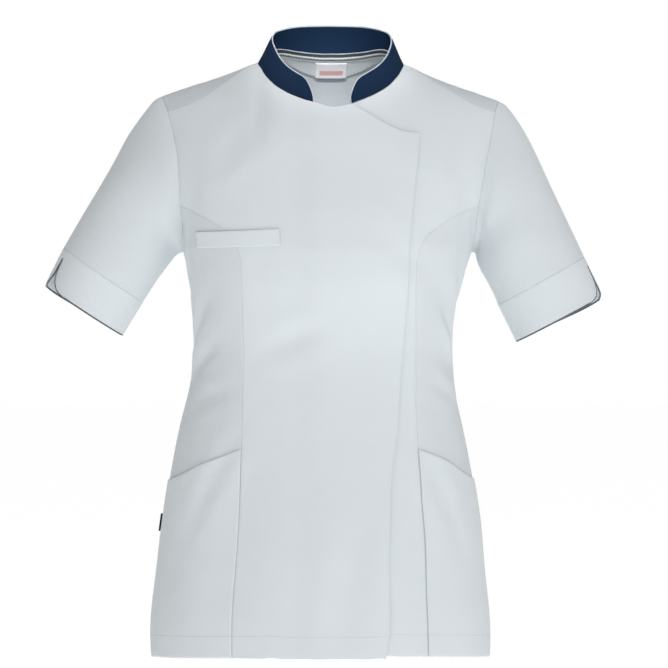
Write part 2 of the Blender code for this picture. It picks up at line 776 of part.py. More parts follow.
def back(tunic):
    """The back, from side seam to side seam and up to the yoke."""
    left, right = (joined(tunic.side_back[side], tunic.arm_back[side]) for side in ("right", "left"))
    hem = level([left[0], at_across(0, HEM_BACK, BACK), right[0]], BACK)
    columns = 2 * SHOULDER_COLUMNS + NECK_STEPS * (tunic.neck_left - tunic.neck_right)
    return patch(hem.even(columns), yoke_seam(tunic).even(columns), left, right)


def yoke(tunic):
    """The yoke, which wraps over both shoulders to the front seams."""
    neck = tunic.neckline.by_knot(tunic.neck_right, tunic.neck_left, NECK_STEPS)
    top = joined(tunic.shoulder["right"], neck, tunic.shoulder["left"][::-1])
    bottom = yoke_seam(tunic).even(len(top) - 1)
    return patch(bottom, top, tunic.arm_yoke["right"], tunic.arm_yoke["left"])


def overlap_lift(points):
    """How far the upper front stands off the torso's wall to clear the lower front."""
    share = np.clip((points[..., 0] - OVERLAP_FROM) / (OVERLAP_TO - OVERLAP_FROM), 0, 1)
    return (CLOTH + OVERLAP_GAP) * share**2 * (3 - 2 * share)


def make_body(tunic):
    places = front_right(tunic)
    cloth("front_right", panel(places, overlap_lift(torso(places))), CLOTH, WHITE)
    cloth("front_left", panel(front_left(tunic)), CLOTH, WHITE)
    for side in SIDES:
        low, upper = front_side(tunic, side)
        cloth(f"front_side_{side}", panel(np.concatenate([low, upper[1:]])), CLOTH, WHITE)
        pocket = panel(low, CLOTH + LAYER_GAP, POCKET_INSET)
        cloth(f"hip_pocket_{side}", pocket, CLOTH, WHITE)
    cloth("back", panel(back(tunic)), CLOTH, WHITE)
    cloth("yoke", panel(yoke(tunic)), CLOTH, PALE_GREY)


def make_chest_welt():
    top, bottom = (drawn(knots).even(WELT_COLUMNS) for knots in (WELT_TOP, WELT_BOTTOM))
    ends = [Seam([tuple(bottom[end]), tuple(top[end])]).even(WELT_ROWS) for end in (0, -1)]
    cloth("chest_welt", panel(patch(bottom, top, *ends), CLOTH + WELT_GAP), CLOTH, WHITE)


def make_flag():
    angles = np.linspace(FLAG_ANGLES[1], FLAG_ANGLES[0], 3)
    lifts = np.linspace(FLAG_LIFTS[1], FLAG_LIFTS[0], 3)
    places = np.array([[at_angle(angle, height) for angle in angles] for height in FLAG_HEIGHTS])
    cloth("flag_tab", panel(places, lifts[None]), TAPE_WALL, CHARCOAL)


def ring_frame(row):
    """A sleeve ring's middle, the way from there to its outer point, and its half depth."""
    size = dict(zip(SLEEVE_COLUMNS, row))
    outer = np.array([size["outer"], size["middle"], size["outer_height"]], float)
    inner = np.array([size["inner"], size["middle"], size["inner_height"]], float)
    return (outer + inner) / 2, (outer - inner) / 2, size["half_depth"]


def sleeve_ring(row, turn):
    """Points round a sleeve ring. Turn is 0 at the outer point and 90 degrees at the front."""
    middle, half, half_depth = ring_frame(row)
    turn = np.radians(turn)[..., None]
    return middle + half * np.cos(turn) - np.array([0, half_depth, 0]) * np.sin(turn)


def ring_turns(points, row):
    """The turn of each point, as sleeve_ring() counts it."""
    middle, half, half_depth = ring_frame(row)
    away = points - middle
    return np.degrees(np.arctan2(-away[:, 1] / half_depth, away @ half / (half @ half)))


def sleeve_fold(turn, share, side):
    """How far the sleeve's soft folds move its cloth."""
    moved = np.zeros_like(turn)
    for at_turn, at_share, half_turn, half_share, depth in SLEEVE_FOLDS[side]:
        away = (turn - at_turn + 180) % 360 - 180
        beside = (away / half_turn + (share - at_share) / half_share) / FOLD_WIDTH
        along = (away / half_turn - (share - at_share) / half_share) / FOLD_LENGTH
        ridges = sum(np.exp(-((beside + away) ** 2)) for away in (-RIDGE_AWAY, RIDGE_AWAY))
        moved += depth * np.exp(-(along**2)) * (RIDGE_SHARE * ridges - np.exp(-(beside**2)))
    return moved


def sleeve(tunic, side, rings):
    """A sleeve's points, from the armhole's own line to the cuff seam, at this many rings."""
    parts = (tunic.arm_lower[side], tunic.arm_upper[side])
    parts += (tunic.arm_yoke[side][::-1], tunic.arm_back[side][::-1])
    armhole = torso(joined(*parts)[:-1])
    table = np.array(SLEEVE_RINGS[side], float)
    turn = ring_turns(armhole, table[0])
    away = armhole - sleeve_ring(table[0], turn)
    shares_down = np.linspace(0, 1, rings)
    known = np.linspace(0, 1, len(table))
    points = []
    for share in shares_down:
        row = [eased(known, table[:, part], share) for part in range(table.shape[1])]
        ring = sleeve_ring(row, turn)
        middle = ring.mean(axis=0)
        outwards = (ring - middle) / np.linalg.norm(ring - middle, axis=-1, keepdims=True)
        faded = min(1, share * (len(table) - 1) / SLEEVE_FADE)
        fade = 1 - faded**2 * (3 - 2 * faded)
        settled = math.sin(math.pi * share) ** 0.5
        fold = sleeve_fold(turn, np.full_like(turn, share), side) * settled
        points.append(ring + away * fade + outwards * fold[:, None])
    points = np.array(points)
    start = points[1] - points[0]
    points[0] += SLEEVE_START * start / np.linalg.norm(start, axis=-1, keepdims=True)
    end = points[-2] - points[-1]
    points[-1] += SEAM_GAP / 2 * end / np.linalg.norm(end, axis=-1, keepdims=True)
    return points


def cuff(side, columns, arc_rows):
    """A cuff's points, row by row from its seam to its hem, and the row where the slit begins."""
    seam_row = np.array(SLEEVE_RINGS[side][-1], float)
    hem_row = np.array(CUFF_HEM[side], float)
    straight = CUFF_HEIGHT - CORNER_RADIUS
    arc = np.radians(np.linspace(0, 90, arc_rows + 1)[1:])
    above = [SEAM_GAP / 2, SLIT_TOP / 2, SLIT_TOP]
    below = [(SLIT_TOP + straight) / 2, straight]
    down = np.array(above + below + list(straight + CORNER_RADIUS * np.sin(arc)))
    corner = np.array([0.0] * len(above + below) + list(CORNER_RADIUS * (1 - np.cos(arc))))
    opened = np.clip((down - SLIT_TOP) / (CUFF_HEIGHT - SLIT_TOP), 0, 1)
    half_slit = SLIT_WIDTH / 2 + SLIT_SPREAD * opened**1.5 + corner
    points = []
    for distance, half in zip(down, half_slit):
        row = seam_row + (hem_row - seam_row) * distance / CUFF_HEIGHT
        middle, half_width, half_depth = ring_frame(row)
        radius = (np.linalg.norm(half_width) + half_depth) / 2
        half_turn = math.degrees(half / radius)
        turn = SLIT_TURN[side] + np.linspace(half_turn, 360 - half_turn, columns)
        points.append(sleeve_ring(row, turn))
    return np.array(points), len(above) - 1


def cuff_edging(points, slit_row):
    """The line that the edging follows, round the hem and the slit of a cuff."""
    rows, columns = points.shape[:2]
    order = [(r, columns - 1) for r in range(slit_row, rows)]
    order += [(rows - 1, c) for c in range(columns - 2, -1, -1)]
    order += [(r, 0) for r in range(rows - 2, slit_row - 1, -1)]
    rows_of, columns_of = zip(*order)
    normals = grid_normals(points, closed=True)[rows_of, columns_of]
    distance = EDGING_RADIUS + PIPING_GAP
    return inset_loop(points[rows_of, columns_of], normals, -distance)


def make_sleeves(tunic):
    for side in SIDES:
        points = sleeve(tunic, side, len(SLEEVE_RINGS[side]))
        cloth(f"sleeve_{side}", points, CLOTH, WHITE, closed=True)
        points, slit_row = cuff(side, CUFF_COLUMNS, CUFF_ARC_ROWS)
        if side == "left":
            points = points[:, ::-1]
        cloth(f"cuff_{side}", points, CUFF_WALL, WHITE, closed=True, open_from=slit_row)
        piping(f"cuff_edging_{side}", cuff_edging(points, slit_row), EDGING_RADIUS, CHARCOAL, closed=True)


def collar_stations(tunic):
    """Places along the neckline by knot, closer together round the back of the neck."""
    first, last = tunic.neck_right, tunic.neck_left
    front_right_part = np.arange(0, first)
    round_back = np.linspace(first, last, (last - first) * NECK_STEPS + 1)
    front_left_part = np.arange(last + 1, len(tunic.neckline.knots))
    return np.concatenate([front_right_part, round_back, front_left_part])


def collar_grid(tunic, stations, rows):
    """The collar's points from the neckline to its top edge."""
    low = torso(tunic.neckline.at_index(stations))
    knots = collar_top_line()
    high = np.column_stack([eased(np.arange(len(knots)), knots[:, part], stations) for part in range(3)])
    up = high - low
    length = np.linalg.norm(up, axis=-1, keepdims=True)
    low = low + up / length * COLLAR_LIFT
    middle = np.array([low[:, 0].mean(), low[:, 1].mean(), 0])
    away = (low - middle) * np.array([1, 1, 0])
    away /= np.linalg.norm(away, axis=-1, keepdims=True)
    part = np.linspace(0, 1, rows + 1)[:, None, None]
    bow = COLLAR_BOW * np.sin(np.pi * part) * length / length.max()
    return (1 - part) * low + part * high + bow * away


def make_collar(tunic):
    points = collar_grid(tunic, collar_stations(tunic), COLLAR_ROWS)
    cloth("collar", points, COLLAR_WALL, NAVY, 0.8)
    rows, columns = points.shape[:2]
    rows_of, columns_of = outline_order(rows, columns)
    normals = grid_normals(points)[rows_of, columns_of]
    edge = inset_loop(points[rows_of, columns_of], normals, -(COLLAR_PIPING_RADIUS + PIPING_GAP))
    piping("collar_piping", edge[columns : 2 * columns + 2 * rows - 4], COLLAR_PIPING_RADIUS, LABEL_WHITE)


def down_the_yoke(points, distances):
    """Points on the yoke's own columns at distances below the neckline."""
    found = []
    for column_points, distance in zip(np.swapaxes(points, 0, 1), distances):
        line = column_points[::-1]
        at = run_length(line)
        found.append([np.interp(distance, at, line[:, part]) for part in range(3)])
    return np.array(found)


def make_neck_finish(tunic):
    """The tape over the neck seam inside the back, its piping, the facing below it and the label."""
    first, last = tunic.neck_right, tunic.neck_left
    stations = np.linspace(first, last, (last - first) * NECK_STEPS + 1)
    collar = collar_grid(tunic, stations, COLLAR_ROWS)
    collar_in = grid_normals(collar)[0]
    up = collar[1] - collar[0]
    up /= np.linalg.norm(up, axis=-1, keepdims=True)
    places = yoke(tunic)[:, SHOULDER_COLUMNS : SHOULDER_COLUMNS + len(stations)]
    yoke_points = torso(places)
    yoke_out = torso_outwards(places[-1])
    on_collar = (COLLAR_WALL + TAPE_WALL) / 2 + TAPE_GAP
    on_yoke = (CLOTH + TAPE_WALL) / 2 + LAYER_GAP
    inside_collar = yoke_points[-1] + collar_in * on_collar
    high = inside_collar + up * (COLLAR_LIFT + TAPE_UP)
    low = down_the_yoke(yoke_points, np.full(len(stations), TAPE_DOWN))
    low = low - yoke_out * ((CLOTH + TAPE_WALL) / 2 + TAPE_GAP)
    cloth("neck_tape", np.array([low, inside_collar + up * COLLAR_LIFT, high]), TAPE_WALL, CHARCOAL)
    above = high + up * (TAPE_PIPING_RADIUS + PIPING_GAP) + collar_in * TAPE_PIPING_IN
    piping("neck_tape_piping", above, TAPE_PIPING_RADIUS, LABEL_WHITE)
    middle = len(stations) // 2
    half = len(FACING_DEPTHS) // 2
    part = slice(middle - half, middle + half + 1)
    facing = [
        down_the_yoke(yoke_points[:, part], FACING_FROM + share * (np.array(FACING_DEPTHS) - FACING_FROM))
        for share in (1, 0.5, 0)
    ]
    cloth("neck_facing", np.array(facing) - yoke_out[part] * on_yoke, TAPE_WALL, WHITE)
    part = slice(middle - 1, middle + 2)
    label = [down_the_yoke(yoke_points[:, part], np.full(3, depth)) for depth in LABEL_DEPTHS[::-1]]
    over_facing = on_yoke + TAPE_WALL + LAYER_GAP
    cloth("neck_label", np.array(label) - yoke_out[part] * over_facing, TAPE_WALL, LABEL_WHITE)


def clear_scene():
    for obj in list(bpy.data.objects):
        bpy.data.objects.remove(obj, do_unlink=True)
    collection = bpy.data.collections.new("work_tunic")
    bpy.context.scene.collection.children.link(collection)


def main():
    clear_scene()
    tunic = Tunic()
    make_body(tunic)
    make_chest_welt()
    make_flag()
    make_sleeves(tunic)
    make_collar(tunic)
    make_neck_finish(tunic)


main()
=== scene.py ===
# %% [markdown]
# # A work tunic, dressed around its imported model
#
# The imported model gives the tunic its real size and its solids. This lesson puts finer cloth on
# those solids, piece by piece, with folds, sewing and woven finishes. It starts by loading the
# model as a fixed frame.

# %% Load the frame
import math

import bpy
import numpy as np
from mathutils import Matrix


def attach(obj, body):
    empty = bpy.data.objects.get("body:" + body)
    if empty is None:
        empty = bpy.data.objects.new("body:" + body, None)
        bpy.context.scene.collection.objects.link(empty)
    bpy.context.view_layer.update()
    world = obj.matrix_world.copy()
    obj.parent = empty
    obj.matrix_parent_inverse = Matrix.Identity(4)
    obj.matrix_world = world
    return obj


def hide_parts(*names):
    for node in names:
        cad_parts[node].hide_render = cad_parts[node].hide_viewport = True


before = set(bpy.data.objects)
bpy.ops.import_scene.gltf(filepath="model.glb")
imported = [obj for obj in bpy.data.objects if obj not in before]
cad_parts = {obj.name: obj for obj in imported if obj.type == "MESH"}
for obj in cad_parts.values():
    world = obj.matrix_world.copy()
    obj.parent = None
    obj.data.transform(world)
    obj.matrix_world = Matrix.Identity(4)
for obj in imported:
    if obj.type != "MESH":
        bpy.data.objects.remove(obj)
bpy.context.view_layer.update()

# %% [markdown]
# ## Camera, light and floor
#
# The photo was taken straight from the front with a long lens, so the camera stands level, far
# away and at the height of the waist. One pixel of the 668-pixel frame covers 1.2 mm at the tunic.
# The light is a soft studio: an even pale surround, a large lamp above the camera, a second one to
# the viewer's right, which leaves the wearer's right side a little darker, one overhead for the
# shoulders and one behind for the back. A narrow spot reaches into the neck. The surround is white
# where the camera sees it and dimmer as a light, because white cloth has no shape in light that is
# even all round.

# %% Camera, light and floor
FRAME_PIXELS = 668
METRES_PER_PIXEL = 0.0012
CAMERA_DISTANCE = 4.5
CAMERA_AT = (0.0042, -CAMERA_DISTANCE, -0.3252)
SENSOR_WIDTH = 36.0
VIEW_END = 200
WHITE_LIGHT = (1, 1, 1, 1)
FLOOR_HEIGHT = -1.15
FLOOR_RADIUS = 40.0
FLOOR_SIDES = 96
FLOOR_PAINT = (0.9, 0.9, 0.9, 1)
FLOOR_ROUGHNESS = 0.9
FLOOR_GLOW = 0.82
SURROUND_LIGHT = 0.19
# Lamps: place, what they face, size in metres, power in watts
LAMPS = {
    "front_lamp": ((0.8, -4.0, 1.0), (0.0, 0.0, -0.2), 1.8, 33.5),
    "right_lamp": ((2.8, -2.9, 0.7), (0.05, 0.0, -0.25), 1.6, 17.5),
    "top_lamp": ((0.1, -0.45, 2.4), (0.0, 0.0, 0.0), 1.8, 26.0),
    "back_lamp": ((-0.9, 3.4, 0.5), (0.0, 0.0, -0.3), 2.4, 16.0),
}
# A narrow spot lights the inside of the neck: place, what it faces, cone in degrees, power in watts
NECK_SPOT = ((0.0, -1.5, 0.95), (0.0, 0.07, -0.03), 5.5, 190.0)
SPOT_RADIUS = 0.06
SPOT_SOFTNESS = 0.9


def add_object(name, data):
    """A new object with this data, linked into the scene."""
    obj = bpy.data.objects.new(name, data)
    bpy.context.scene.collection.objects.link(obj)
    return obj


def make_camera():
    data = bpy.data.cameras.new("camera")
    data.sensor_width = SENSOR_WIDTH
    data.lens = SENSOR_WIDTH * CAMERA_DISTANCE / (FRAME_PIXELS * METRES_PER_PIXEL)
    data.clip_end = VIEW_END
    camera = add_object("camera", data)
    camera.location = CAMERA_AT
    camera.rotation_euler = (math.radians(90), 0, 0)
    bpy.context.scene.camera = camera


make_camera()
print("camera:", CAMERA_DISTANCE, "m in front of the tunic")

# %% [markdown]
# A lamp shines along its own downward axis, so each one is turned until that axis points at what
# it faces. The large lamps are square panels, which give soft shadows, and the spot keeps its
# light inside a narrow cone.

# %% Lamps
def hang_lamp(data, place, aim):
    """Puts a lamp in its place and turns it to what it faces."""
    lamp = add_object(data.name, data)
    lamp.location = place
    direction = np.array(aim) - np.array(place)
    yaw = math.atan2(-direction[0], direction[1])
    tilt = math.atan2(direction[2], math.hypot(direction[0], direction[1]))
    lamp.rotation_euler = (math.radians(90) + tilt, 0, yaw)


def make_lamps():
    for name, (place, aim, size, watts) in LAMPS.items():
        data = bpy.data.lights.new(name, "AREA")
        data.size = size
        data.energy = watts
        hang_lamp(data, place, aim)
    place, aim, cone, watts = NECK_SPOT
    data = bpy.data.lights.new("neck_spot", "SPOT")
    data.spot_size = math.radians(cone)
    data.spot_blend = SPOT_SOFTNESS
    data.shadow_soft_size = SPOT_RADIUS
    data.energy = watts
    hang_lamp(data, place, aim)


make_lamps()
print("lamps:", ", ".join(LAMPS), "and neck_spot")

# %% [markdown]
# The surround asks of each ray whether it comes from the camera, and is bright only for that one.
# A wide round floor far below glows a little, so that it looks as white as the surround and no
# edge shows. It belongs to the studio and not to the tunic.

# %% Surround and floor
def make_surround():
    world = bpy.data.worlds.new("studio")
    world.use_nodes = True
    nodes, links = world.node_tree.nodes, world.node_tree.links
    nodes.clear()
    ray = nodes.new("ShaderNodeLightPath")
    strength = nodes.new("ShaderNodeMix")
    strength.inputs["A"].default_value = SURROUND_LIGHT
    strength.inputs["B"].default_value = 1.0
    background = nodes.new("ShaderNodeBackground")
    background.inputs["Color"].default_value = WHITE_LIGHT
    output = nodes.new("ShaderNodeOutputWorld")
    links.new(ray.outputs["Is Camera Ray"], strength.inputs["Factor"])
    links.new(strength.outputs["Result"], background.inputs["Strength"])
    links.new(background.outputs[0], output.inputs["Surface"])
    bpy.context.scene.world = world


def make_floor():
    bpy.ops.mesh.primitive_circle_add(vertices=FLOOR_SIDES, radius=FLOOR_RADIUS, fill_type="NGON")
    floor = bpy.context.object
    floor.name = "floor"
    floor.location.z = FLOOR_HEIGHT
    paint = bpy.data.materials.new("floor_paint")
    paint.use_nodes = True
    shader = paint.node_tree.nodes["Principled BSDF"]
    shader.inputs["Base Color"].default_value = FLOOR_PAINT
    shader.inputs["Roughness"].default_value = FLOOR_ROUGHNESS
    shader.inputs["Emission Color"].default_value = WHITE_LIGHT
    shader.inputs["Emission Strength"].default_value = FLOOR_GLOW
    floor.data.materials.append(paint)


make_surround()
make_floor()
bpy.context.scene.view_settings.view_transform = "Standard"
print("surround and floor are in place")

# %% [markdown]
# ## Maths on sockets
#
# A woven finish is mostly arithmetic on thread coordinates. Written as nodes it is hard to read,
# so a small class wraps a socket and turns Python's operators into Math nodes. Everything else a
# material needs comes from one method, which makes a node, sets its settings and fills its inputs.

# %% Arithmetic on sockets
class Value:
    """A socket that can be added, multiplied and so on, each step as a Math node."""

    def __init__(self, shader, socket):
        self.shader = shader
        self.socket = socket

    def math(self, operation, *others):
        return self.shader.node("ShaderNodeMath", {"operation": operation}, [self, *others])

    def __add__(self, other):
        return self.math("ADD", other)

    def __mul__(self, other):
        return self.math("MULTIPLY", other)

    def __sub__(self, other):
        return self.math("SUBTRACT", other)

    def sine(self):
        return self.math("SINE")

    def clamped(self):
        return self.math("MAXIMUM", 0.0).math("MINIMUM", 1.0)


print("sockets can be added and multiplied")

# %% [markdown]
# The second class holds one material. What stays the same all over a finish goes straight onto the
# shader, and what varies comes in through nodes.

# %% One material
SHEEN_ROUGHNESS = 0.5
COLOUR_SOCKETS = (6, 7)
MIXED_COLOUR = 2


class Shader:
    """One material on a Principled BSDF, with short calls for its nodes."""

    def __init__(self, name, roughness, sheen=0.0, specular=0.3):
        self.material = bpy.data.materials.new(name)
        self.material.use_nodes = True
        self.tree = self.material.node_tree
        self.surface = self.tree.nodes["Principled BSDF"]
        constants = {
            "Roughness": roughness, "Metallic": 0.0, "Specular IOR Level": specular,
            "Sheen Weight": sheen, "Sheen Roughness": SHEEN_ROUGHNESS,
        }
        for socket, value in constants.items():
            self.surface.inputs[socket].default_value = value

    def fill(self, socket, value):
        if isinstance(value, Value):
            self.tree.links.new(value.socket, socket)
        else:
            socket.default_value = value

    def node(self, kind, settings=None, values=(), out=0):
        """A node of this kind; values go in by order, or by name from a dict."""
        node = self.tree.nodes.new(kind)
        for name, value in (settings or {}).items():
            setattr(node, name, value)
        pairs = values.items() if isinstance(values, dict) else enumerate(values)
        for place, value in pairs:
            self.fill(node.inputs[place], value)
        return Value(self, node.outputs[out])

    def mix(self, factor, first, second):
        """A blend of two colours, through the Mix node's own sockets for colours."""
        values = {0: factor, **dict(zip(COLOUR_SOCKETS, (first, second)))}
        return self.node("ShaderNodeMix", {"data_type": "RGBA"}, values, MIXED_COLOUR)

    def noise(self, where, scale, detail, roughness):
        values = {"Vector": where, "Scale": scale, "Detail": detail, "Roughness": roughness}
        return self.node("ShaderNodeTexNoise", None, values)

    def bump(self, height, distance, strength, under=None):
        values = {"Height": height, "Distance": distance, "Strength": strength}
        if under is not None:
            values["Normal"] = under
        return self.node("ShaderNodeBump", None, values)

    def paint(self, **inputs):
        for name, value in inputs.items():
            self.fill(self.surface.inputs[name.replace("_", " ")], value)
        return self.material


print("materials can be made")

# %% [markdown]
# ## Finishes
#
# The tunic is sewn from a light twill of polyester and cotton: fine diagonal ribs about a
# millimetre apart, matt, with a faint sheen at grazing angles. The ribs come from sine waves on
# the thread coordinates that each piece of cloth carries in its own map, in metres, so they run
# along the grain of every panel. Two slower noises tint the cloth a little and give it the soft
# unevenness of worn cotton. The collar, the tape, the piping and the label are the same idea with
# other colours and ribs. The sleeves and the side fronts take a greyer copy of the white: painted
# shade where they turn away from the lamps. The welt and the inside of the neck take a whiter
# copy: painted light.

# %% Cloth finishes
THREAD_MAP = "threads"
RIB_LEAN = 1.6
# Noises: scale, detail and roughness
SLUBS = (900.0, 3.0, 0.6)
BROAD_PATCHES = (7.0, 2.0, 0.45)
SOFT_PATCHES = (26.0, 3.0, 0.5)
RIBBON_PATCHES = (40.0, 2.0, 0.5)
# Shares of diagonal ribs, cross ribs and slubs in the weave, then of broad and soft patches
WEAVE_SHARES = (0.5, 0.18, 0.9)
PATCH_SHARES = (0.7, 0.3)
CRUMPLE_SHARES = (0.5, 0.7)
TINT_SHARES = (0.65, 0.35)
PATCH_CONTRAST = 1.6
WEAVE_CONTRAST = 0.18
WEAVE_TINT = 0.4
GLOSS_OF_SHADE = 0.06
# Heights of the reliefs in metres
CRUMPLE_RELIEF = 0.006
WEAVE_RELIEF = 0.00012
RIBBON_RELIEF = 0.00015
RIBBON_RIBS = 0.4
RIBBON_SHADES = (0.88, 1.12)


def shaded(colour, factor):
    """A colour made lighter or darker, with full opacity."""
    return (*(part * factor for part in colour[:3]), 1.0)


def blended(values, shares):
    """A sum of sockets, each times its share."""
    total, *others = (value * share for value, share in zip(values, shares))
    for other in others:
        total = total + other
    return total


def twill(name, colour, rib=0.0011, roughness=0.82, sheen=0.18, tint=0.035, ribs=0.35,
          crumple=0.35, specular=0.3):
    """A twill of this colour, whose ribs are this far apart in metres."""
    shader = Shader(name, roughness, sheen, specular)
    threads = shader.node("ShaderNodeUVMap", {"uv_map": THREAD_MAP})
    across = shader.node("ShaderNodeSeparateXYZ", None, [threads], "X")
    along = shader.node("ShaderNodeSeparateXYZ", None, [threads], "Y")
    place = shader.node("ShaderNodeTexCoord", None, (), "Object")
    turns = 2 * math.pi / rib
    diagonal = ((across + along * RIB_LEAN) * turns * 0.5).sine()
    crossing = ((across - along) * turns).sine()
    weave = blended((diagonal, crossing, shader.noise(threads, *SLUBS)), WEAVE_SHARES)
    patches = [shader.noise(place, *settings) for settings in (BROAD_PATCHES, SOFT_PATCHES)]
    patchy = (blended(patches, PATCH_SHARES) - 0.5) * PATCH_CONTRAST + 0.5
    shade = blended((patchy, weave * WEAVE_CONTRAST + WEAVE_TINT), TINT_SHARES).clamped()
    base = shader.mix(shade, shaded(colour, 1 - tint), shaded(colour, 1 + tint))
    crumpled = shader.bump(blended(patches, CRUMPLE_SHARES), CRUMPLE_RELIEF, crumple)
    normal = shader.bump(weave, WEAVE_RELIEF, ribs, crumpled)
    rough = shade * -GLOSS_OF_SHADE + (roughness + GLOSS_OF_SHADE / 2)
    return shader.paint(Base_Color=base, Roughness=rough, Normal=normal)


def ribbon(name, colour, roughness=0.6, rib=0.0007):
    """A tightly woven ribbon or cord cover with fine cross ribs."""
    shader = Shader(name, roughness, sheen=0.12, specular=0.4)
    place = shader.node("ShaderNodeTexCoord", None, (), "Object")
    fine = shader.noise(place, 1.0 / rib, 2.0, 0.5)
    shade = blended((fine, shader.noise(place, *RIBBON_PATCHES)), (0.5, 0.5)).clamped()
    base = shader.mix(shade, *(shaded(colour, factor) for factor in RIBBON_SHADES))
    normal = shader.bump(fine, RIBBON_RELIEF, RIBBON_RIBS)
    return shader.paint(Base_Color=base, Roughness=shade * -0.1 + (roughness + 0.05), Normal=normal)


WHITE = (0.695, 0.742, 0.768)
# The yoke's grey is partly a greyer cloth and partly painted shade on shoulders that face away from
# the front lamps.
YOKE_GREY_AND_SHADE = (0.60, 0.64, 0.675)
NAVY = (0.0040, 0.0180, 0.049)
CHARCOAL = (0.040, 0.047, 0.058)
PIPING = (0.50, 0.56, 0.61)
LABEL = (0.97, 0.98, 0.99)
CORAL = (0.80, 0.46, 0.45)
THREAD = (0.68, 0.72, 0.76)

finishes = {
    "white": twill("white_twill", WHITE),
    # A greyer copy of the white: painted shade on the sleeves and side fronts, which turn away from
    # the lamps.
    "painted_shade_white": twill("painted_shade_twill", shaded(WHITE, 0.95)),
    "yoke": twill("yoke_twill", YOKE_GREY_AND_SHADE),
    # A whiter copy of the white: painted light on the welt and the inside of the neck.
    "facing": twill("painted_light_twill", shaded(WHITE, 1.05), crumple=0.15),
    "navy": twill(
        "navy_twill", NAVY,
        rib=0.0009, roughness=0.8, sheen=0.0, tint=0.12, crumple=0.12, specular=0.14,
    ),
    "tape": ribbon("charcoal_ribbon", shaded(CHARCOAL, 0.6), 0.7),
    "edging": ribbon("edging_ribbon", shaded(CHARCOAL, 2.4), 0.7),
    "piping": ribbon("pale_cord", PIPING, 0.5),
    "label": ribbon("label_ribbon", LABEL, 0.45),
    "coral": ribbon("coral_stripe", CORAL, 0.5),
    "thread": ribbon("white_thread", THREAD, 0.5, 0.0004),
    # Darker than the thread: painted shade along the groove of the hem's turning.
    "hem_thread_painted_shade": ribbon("hem_thread_painted_shade", shaded(THREAD, 0.6), 0.6, 0.0004),
    "dark_thread": ribbon("dark_thread", shaded(CHARCOAL, 0.2), 0.85, 0.0004),
}
print("finishes:", ", ".join(finishes))

# %% [markdown]
# ## The torso's form
#
# The body of the tunic is one smooth form: level sections from hem to shoulders, each a rounded
# oblong with its own width and depth, closed over the top by the ridge of the shoulders. A place
# on it is an angle round the body and a drop down from the ridge. Every panel, pocket and seam is
# laid out in these two numbers, so neighbours always meet. Sizes are in millimetres, as on a
# maker's chart.

# %% Sizes and sections
MM = 0.001
# Walls of the cloths
CLOTH = 1.2
CUFF_WALL = 1.8
COLLAR_WALL = 2.2
TAPE_WALL = 1.0
# Gaps at seams, under what lies on something else and beside cords, then the collar's lift and bow
SEAM_GAP = 0.14
PANEL_TRIM = 0.07
PIPING_GAP = 0.4
LAYER_GAP = 0.5
TAPE_GAP = 1.0
OVERLAP_GAP = 2.2
WELT_GAP = 1.1
COLLAR_LIFT = 1.1
COLLAR_BOW = 1.5
SLEEVE_START = 0.4

FRONT = 1
BACK = -1
SIDES = {"right": -1, "left": 1}

# The torso's level sections, from the hem up. Across and middle place the section's centre,
# half_width reaches the sides, and front and back are its depths from that centre.
TORSO_COLUMNS = ("height", "across", "half_width", "middle", "front", "back")
TORSO_SECTIONS = (
    (-720, -11.8, 204.0, 6, 133, 131),
    (-664, -12.3, 201.3, 6, 131, 130),
    (-606, -12.0, 195.0, 7, 127, 130),
    (-548, -11.0, 189.0, 8, 121, 129),
    (-491, -11.2, 180.0, 8, 114, 124),
    (-433, -11.2, 168.5, 7, 107, 114),
    (-404, -10.8, 161.4, 6, 104, 108),
    (-376, -9.5, 157.2, 5, 102, 102),
    (-340, -9.0, 154.8, 4, 103, 98),
    (-300, -8.4, 156.4, 3, 110, 99),
    (-258, -5.4, 163.6, 2, 119, 103),
    (-239, -4.2, 168.6, 2, 121, 105),
    (-226, -3.6, 172.4, 2, 122, 107),
    (-205, -3.2, 177.0, 3, 121, 109),
    (-186, -2.8, 183.0, 3, 119, 111),
    (-166, -2.2, 190.0, 4, 116, 112),
    (-130, -1.6, 203.0, 6, 109, 112),
    (-100, -1.0, 210.0, 7, 104, 110),
    (-60, -0.5, 214.0, 8, 99, 104),
    (40, 0.0, 215.0, 8, 98, 100),
)
# How full the sections are: 2 is an ellipse, and more comes closer to an oblong
FULLNESS = 2.3

# The ridge along the top of the shoulders. The wearer's left shoulder sits a little lower.
RIDGE_COLUMNS = ("out", "right", "left")
SHOULDER_RIDGE = (
    (0, 30.0, 30.0),
    (38, 27.0, 26.8),
    (67, 17.0, 16.2),
    (85, 1.8, 0.2),
    (98, -3.2, -5.5),
    (116, -10.6, -14.4),
    (143, -20.2, -25.2),
    (175, -30.2, -36.2),
    (201, -39.6, -45.2),
    (230, -50.0, -56.0),
)
SHOULDER_FALL = 130
SHOULDER_ROUND = 1.7
FIRST_HEIGHT = -100.0
HEIGHT_ROUNDS = 9
ANGLE_STEP = 0.05
DROP_STEP = 0.002
WIDEST_SHARE = 0.99999
print("torso:", len(TORSO_SECTIONS), "sections,", len(SHOULDER_RIDGE), "places on the ridge")
